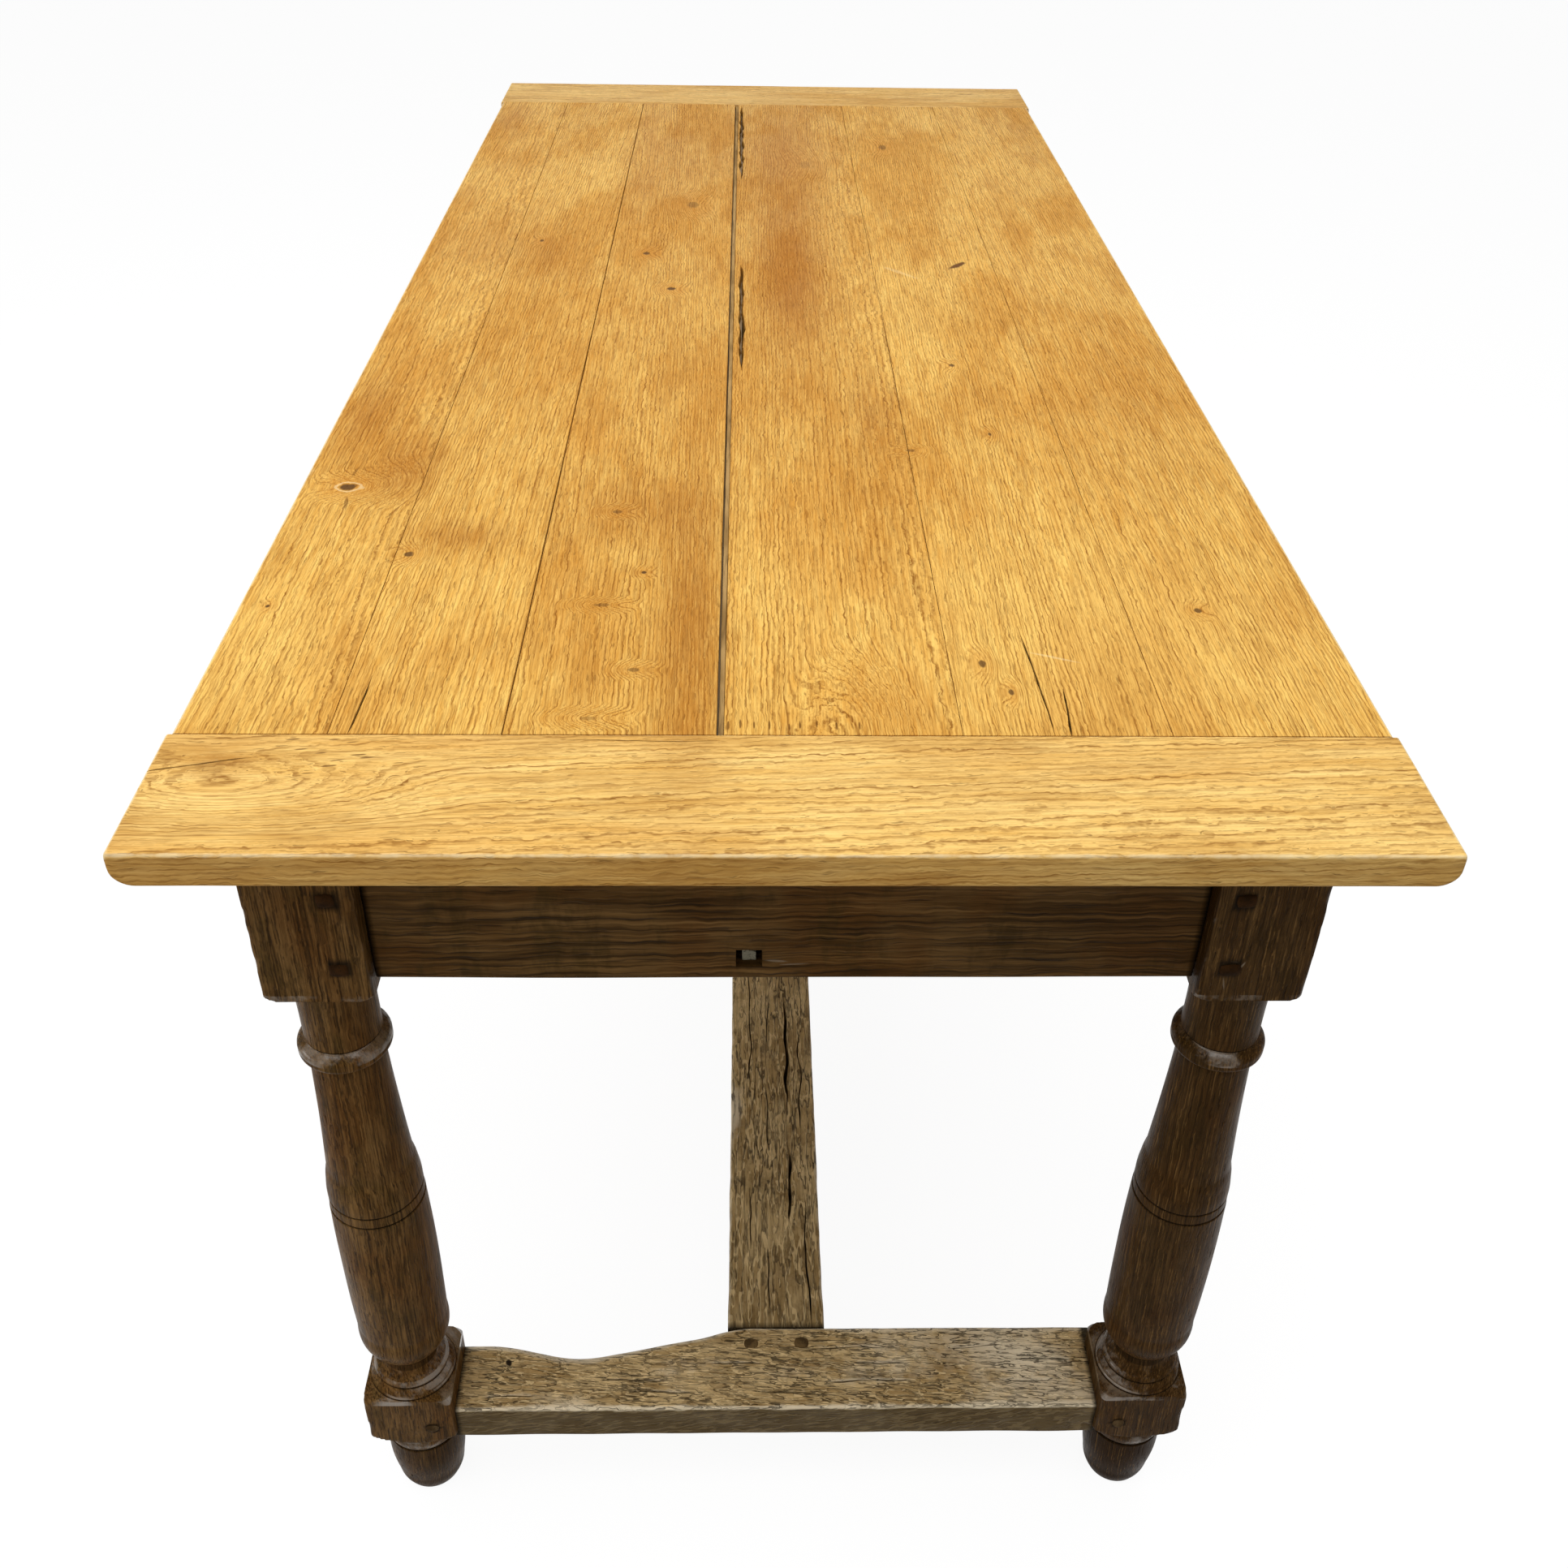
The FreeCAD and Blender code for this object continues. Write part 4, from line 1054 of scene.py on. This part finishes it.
def make_end_stretcher(end, sign):
    t = tenoned(even(-shoulder_x, shoulder_x, 4 * mm), shoulder_x + scribe)
    inset = tenon_inset(t, shoulder_x + scribe)
    cut = wane(t) if sign < 0 else 0.0 * t
    nibble = nibble_deep * unit(sway(t, 22, 130 + sign) + 0.2)
    chip = chip_least + chip_more * unit(sway(t, 17, 131 + sign)) + nibble
    inner = stretcher_inner + cut + np.where(inset < tenon_in, inset, tenon_back)
    rounds = (3 * mm, 2 * mm, 3 * mm + cut * 0.35, chip)
    low, high, rounds = turned_out(sign, stretcher_outer - inset, inner, rounds)
    floor, top = stretcher_low + inset, stretcher_top - inset - 0.5 * nibble
    loops = plank_loops(t, low, high, floor, top, rounds, end_checks[end], 3 * mm, 8)
    planed = (1.3 * mm, (60, 22, 22), 132 + sign)
    points, normals, worn, soot = lay(loops, t, 0, planed)
    flat = unit(normals[..., 2])
    # Painted shade on the faces that do not look up
    tone = 0.86 * (1 - unit(flat * 1.6)) * (soot < 0.1)
    # Painted shade at the shoulders
    soot = soot + (np.abs(points[..., 0]) > shoulder_x - seam_shade_reach) * 0.9
    scuff = unit(ripple(points, (70, 30, 30), 133 + sign) + 0.1) * flat * 0.6
    # Painted highlight at the right end, laid on as pale wear
    rubbing_and_glint = 0.62 * np.exp(-((points[..., 0] - glint_x) / glint_reach) ** 2) * flat
    grain = log_place(points, 0, (sign * 850, 30), (-0.05, 0.15))
    build(f"foot_rail_{end}", points, worn_oak, "oak_stretcher", f"end_stretcher_{end}", grain=grain,
          worn=worn + scuff + rubbing_and_glint, soot=soot, tone=tone)


def make_spine():
    t = even(-stretcher_inner + spine_play, stretcher_inner - spine_play, 6 * mm)
    left, right = [spine_nibble * unit(sway(t, 26, seed) + 0.2) for seed in (140, 141)]
    rounds = (3 * mm, 3 * mm, spine_round + left, spine_round + right)
    low, high = -spine_half + 0.5 * left, spine_half - 0.5 * right
    loops = plank_loops(t, low, high, spine_low, spine_top, rounds, spine_checks, 3 * mm, 8)
    planed = (1.3 * mm, (22, 70, 22), 142)
    points, normals, worn, soot = lay(loops, t, 1, planed)
    flat = unit(normals[..., 2])
    # Painted light and shade: darker at the near end, paler towards the far end, and darker on the faces that
    # do not look up
    spine_shading = np.interp(points[..., 1], spine_shading_places, spine_shading_tones)
    tone = spine_shading + 0.55 * (1 - unit(flat * 1.6)) * (soot < 0.1)
    # Painted shade at the ends, where the rail meets the stretchers
    soot = soot + (np.abs(points[..., 1]) > stretcher_inner - 3 * mm) * 0.8
    scuff = unit(ripple(points, (30, 90, 30), 143)) * flat * 0.35
    grain = spine_figure * log_place(points, 1, (30, 30), (0.004, 0.03))
    build("foot_rail_long", points, worn_oak, "oak_stretcher", "centre_stretcher", grain=grain,
          worn=worn * 0.6 + scuff + torn_edge.at(points), soot=soot, tone=tone)


# Pegs, driven through the joints

peg_size = (12.5 * mm, 10.5 * mm, 9 * mm)
peg_sunk = 3.6 * mm
stud_size = (9.5 * mm, 8.5 * mm, 9 * mm)
stud_sunk = 2.6 * mm


class Sheet(Finish):
    """A Geometry Nodes tree with named inputs."""

    def __init__(self, name, kinds):
        self.tree = bpy.data.node_groups.new(name, "GeometryNodeTree")
        face = self.tree.interface
        for way in ("INPUT", "OUTPUT"):
            face.new_socket("Geometry", in_out=way, socket_type="NodeSocketGeometry")
        self.keys = {}
        for key, kind in kinds.items():
            self.keys[key] = face.new_socket(key, in_out="INPUT", socket_type=f"NodeSocket{kind}").identifier


def peg_sheet():
    """A pillow-shaped peg head on every point, turned to the point's facing, each a little different."""
    kinds = {"Head size": "Vector", "Roundness": "Float", "Turn": "Float", "Seed": "Int"}
    kinds["Finish"] = "Material"
    s = Sheet("peg_heads", kinds)
    given = s.add("NodeGroupInput").outputs()
    counts = {"Vertices X": 7, "Vertices Y": 7, "Vertices Z": 5}
    cube = s.add("GeometryNodeMeshCube", {}, {"Size": (1.0, 1.0, 1.0), **counts}, "Mesh")
    place = s.add("GeometryNodeInputPosition")
    ball = s.vector("NORMALIZE", place)
    ball = s.add("ShaderNodeVectorMath", {"operation": "SCALE"}, {0: ball, "Scale": 0.62})
    soft = s.add("ShaderNodeMix", {"data_type": "VECTOR"}, {0: given["Roundness"], 4: place, 5: ball}, 1)
    pillow = s.add("GeometryNodeSetPosition", {}, {"Geometry": cube, "Position": soft})
    facing = s.add("GeometryNodeInputNamedAttribute", {"data_type": "FLOAT_VECTOR"}, {"Name": "facing"})
    aim = s.add("FunctionNodeAlignRotationToVector", {"axis": "Z"}, {"Vector": facing})
    draw = {2: -1.0, 3: 1.0, "Seed": given["Seed"]}
    angle = s.add("FunctionNodeRandomValue", {"data_type": "FLOAT"}, draw, 1) * given["Turn"]
    twist = s.add("FunctionNodeAxisAngleToRotation", {}, {"Axis": (0.0, 0.0, 1.0), "Angle": angle})
    whole = s.add("FunctionNodeRotateRotation", {"rotation_space": "LOCAL"}, {0: aim, 1: twist})
    draw = {0: (0.85, 0.8, 0.9), 1: (1.15, 1.05, 1.1), "Seed": given["Seed"]}
    vary = s.add("FunctionNodeRandomValue", {"data_type": "FLOAT_VECTOR"}, draw)
    sockets = {"Points": given["Geometry"], "Instance": pillow, "Rotation": whole}
    sockets["Scale"] = s.vector("MULTIPLY", vary, given["Head size"])
    heads = s.add("GeometryNodeInstanceOnPoints", {}, sockets)
    real = s.add("GeometryNodeRealizeInstances", {}, {0: heads})
    done = s.add("GeometryNodeSetMaterial", {}, {"Geometry": real, "Material": given["Finish"]})
    s.add("NodeGroupOutput", {}, {0: done})
    return s


def drive_pegs(sheet, name, node, spots, size, seed, finish, roundness=0.6):
    """One node's pegs: points with a facing, the tree's heads on them, made a plain mesh."""
    mesh = bpy.data.meshes.new(name)
    mesh.from_pydata([spot for spot, way in spots], [], [])
    facing = mesh.attributes.new("facing", "FLOAT_VECTOR", "POINT")
    facing.data.foreach_set("vector", [value for spot, way in spots for value in way])
    piece = new_object(name, mesh)
    modifier = piece.modifiers.new("heads", "NODES")
    modifier.node_group = sheet.tree
    values = {"Head size": size, "Roundness": roundness, "Turn": 0.16, "Seed": seed, "Finish": finish}
    for key, value in values.items():
        modifier[sheet.keys[key]] = value
    ready = piece.evaluated_get(bpy.context.evaluated_depsgraph_get())
    solid = bpy.data.meshes.new_from_object(ready)
    piece.modifiers.remove(modifier)
    piece.data = solid
    solid.shade_smooth()
    settle(piece, node)


def make_pegs():
    sheet = peg_sheet()
    dark = peg_oak("peg_oak", (0.044, 0.018, 0.005), (0.020, 0.009, 0.003))
    brown = peg_oak("stud_oak", (0.105, 0.066, 0.030), (0.050, 0.028, 0.011))
    pale = peg_oak("pale_peg_oak", (0.150, 0.092, 0.036), (0.075, 0.045, 0.018))
    for seed, (end, sign_x, sign_y) in enumerate(leg_ends):
        face_x, face_y = sign_x * (leg_x + leg_half - peg_sunk), sign_y * (leg_y + leg_half - peg_sunk)
        spots = []
        for z in peg_heights:
            spots.append(((sign_x * (leg_x - peg_off), face_y, z), (0, sign_y, 0)))
            spots.append(((face_x, sign_y * (leg_y - peg_off), z), (sign_x, 0, 0)))
        drive_pegs(sheet, f"leg_pegs_{end}", f"apron_pegs_{end}", spots, peg_size, 11 + seed, dark)
    for seed, (end, sign) in enumerate(ends):
        face_y = sign * (leg_y + leg_half - stud_sunk)
        spots = [((side * (leg_x - peg_off), face_y, stud_height), (0, sign, 0)) for side in (-1, 1)]
        node = f"stretcher_pegs_{end}"
        drive_pegs(sheet, f"foot_pegs_{end}", node, spots, stud_size, 21 + seed, brown, 0.9)
        spot_y, spot_z = sign * rail_peg_y, stretcher_top - peg_sunk
        spots = [((side * rail_peg_x, spot_y, spot_z), (0, 0, 1)) for side in (-1, 1)]
        drive_pegs(sheet, f"rail_pegs_{end}", f"spine_pegs_{end}", spots, peg_size, 31 + seed, pale)


# Strip in the open joint and plug in the slot

def make_strip(finish):
    low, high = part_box("joint_filler")
    t = even(low[1], high[1], 9 * mm)
    rough = 0.9 * mm * unit(sway(t, 30, 151) + 0.2)
    drop = 1.2 * mm * unit(sway(t, 80, 152))
    rounds = (0.3 * mm, 0.3 * mm, 0.5 * mm, 0.5 * mm)
    left = low[0] - 0.2 * mm + 0.5 * rough
    loops = plank_loops(t, left, high[0], low[2], high[2] - drop, rounds, (), 1 * mm)
    build("gap_strip", lay(loops, t, 1)[0], finish, "grey_strip", "joint_filler")


def make_plug(finish):
    low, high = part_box("apron_plug")
    t = even(low[0] + 1 * mm, high[0] - 1 * mm, 1 * mm)
    face = low[1] + 3 * mm + 0.5 * mm * sway(t, 4, 153)
    top = high[2] - (t - low[0]) * 0.35
    loops = plank_loops(t, face, high[1], low[2], top, (0.5 * mm,) * 4, (), 1 * mm)
    build("slot_plug", lay(loops, t, 0)[0], finish, "grey_strip", "apron_plug")


def dress(nodes, material):
    """A finish on the solids that stay as they are."""
    for node in nodes:
        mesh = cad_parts[node].data
        mesh.materials.clear()
        mesh.materials.append(material)


make_boards()
make_caps()
make_legs()
for end, sign in ends:
    make_apron(end, sign, end_plan)
for side, sign in (("left", -1), ("right", 1)):
    make_apron(side, sign, side_plan)
for end, sign in ends:
    make_end_stretcher(end, sign)
make_spine()
make_pegs()
make_strip(strip_wood("tan_strip", (0.42, 0.265, 0.098), (0.25, 0.145, 0.045), (0.09, 0.050, 0.016)))
make_plug(strip_wood("grey_plug", (0.24, 0.215, 0.15), (0.13, 0.105, 0.065), (0.035, 0.028, 0.018)))
hidden_long = dry_oak(
    "dry_oak_long", (0.34, 0.23, 0.12), (0.15, 0.095, 0.05), (420.0, 11.0, 420.0), (26.0, 3.0, 26.0))
hidden_cross = dry_oak(
    "dry_oak_cross", (0.30, 0.20, 0.10), (0.13, 0.085, 0.045), (11.0, 420.0, 420.0), (3.0, 26.0, 26.0))
dress([f"top_tongue_{number}" for number in range(1, 6)], hidden_long)
dress(["top_bearer", "buttons_left", "buttons_right", "cap_pegs_near", "cap_pegs_far"], hidden_cross)
dress(["bearer_nails", "button_nails"], forged_iron())


# Floor, light and camera

white = (1.0, 1.0, 1.0)


def make_floor():
    size = 14.0
    mesh = bpy.data.meshes.new("floor")
    corners = [(-size, -size, 0), (size, -size, 0), (size, size, 0), (-size, size, 0)]
    mesh.from_pydata(corners, [], [(0, 1, 2, 3)])
    f = Finish("pale_floor")
    plain = f.add("ShaderNodeBsdfDiffuse", {}, {"Color": (0.5, 0.5, 0.5)})
    seen = f.add("ShaderNodeBsdfDiffuse", {}, {"Color": (0.12, 0.12, 0.12)})
    glow = f.add("ShaderNodeEmission", {}, {"Color": white, "Strength": 0.925})
    seen = f.add("ShaderNodeAddShader", {}, {0: seen, 1: glow})
    shader = f.add("ShaderNodeMixShader", {}, {0: f.backdrop_rays(), 1: plain, 2: seen})
    f.add("ShaderNodeOutputMaterial", {}, {"Surface": shader})
    mesh.materials.append(f.material)
    floor = new_object("floor", mesh)


def make_lamp(name, place, turn, size, power):
    lamp = bpy.data.lights.new(name, "AREA")
    lamp.shape = "RECTANGLE"
    lamp.size, lamp.size_y = size
    lamp.energy = power
    stand = new_object(name, lamp)
    stand.location = place
    stand.rotation_euler = [math.radians(angle) for angle in turn]


def make_world(level):
    world = bpy.data.worlds.new("studio")
    f = Finish("studio", world)
    soft = f.add("ShaderNodeBackground", {}, {"Color": white, "Strength": level})
    clear = f.add("ShaderNodeBackground", {}, {"Color": white, "Strength": 1.0})
    shader = f.add("ShaderNodeMixShader", {}, {0: f.backdrop_rays(), 1: soft, 2: clear})
    f.add("ShaderNodeOutputWorld", {}, {"Surface": shader})
    bpy.context.scene.world = world


def make_camera():
    lens = bpy.data.cameras.new("photo_view")
    lens.sensor_width = 36.0
    lens.lens = 36.1405
    lens.clip_end = 50.0
    camera = new_object("photo_view", lens)
    camera.location = (-0.02637, -1.68678, 1.33557)
    camera.rotation_euler = [math.radians(angle) for angle in (53.859, -0.880, -1.013)]
    bpy.context.scene.camera = camera


make_floor()
make_lamp("ceiling_light", (-0.4, -0.65, 3.2), (0, 0, 0), (3.6, 3.6), 90)
make_lamp("side_light", (-2.6, -1.3, 0.9), (0, -90, 0), (0.7, 1.2), 7)
make_lamp("front_light", (-1.6, -3.2, 1.6), (68, 0, -26), (2.2, 1.8), 9)
make_world(0.36)
make_camera()
bpy.context.scene.view_settings.view_transform = "Standard"
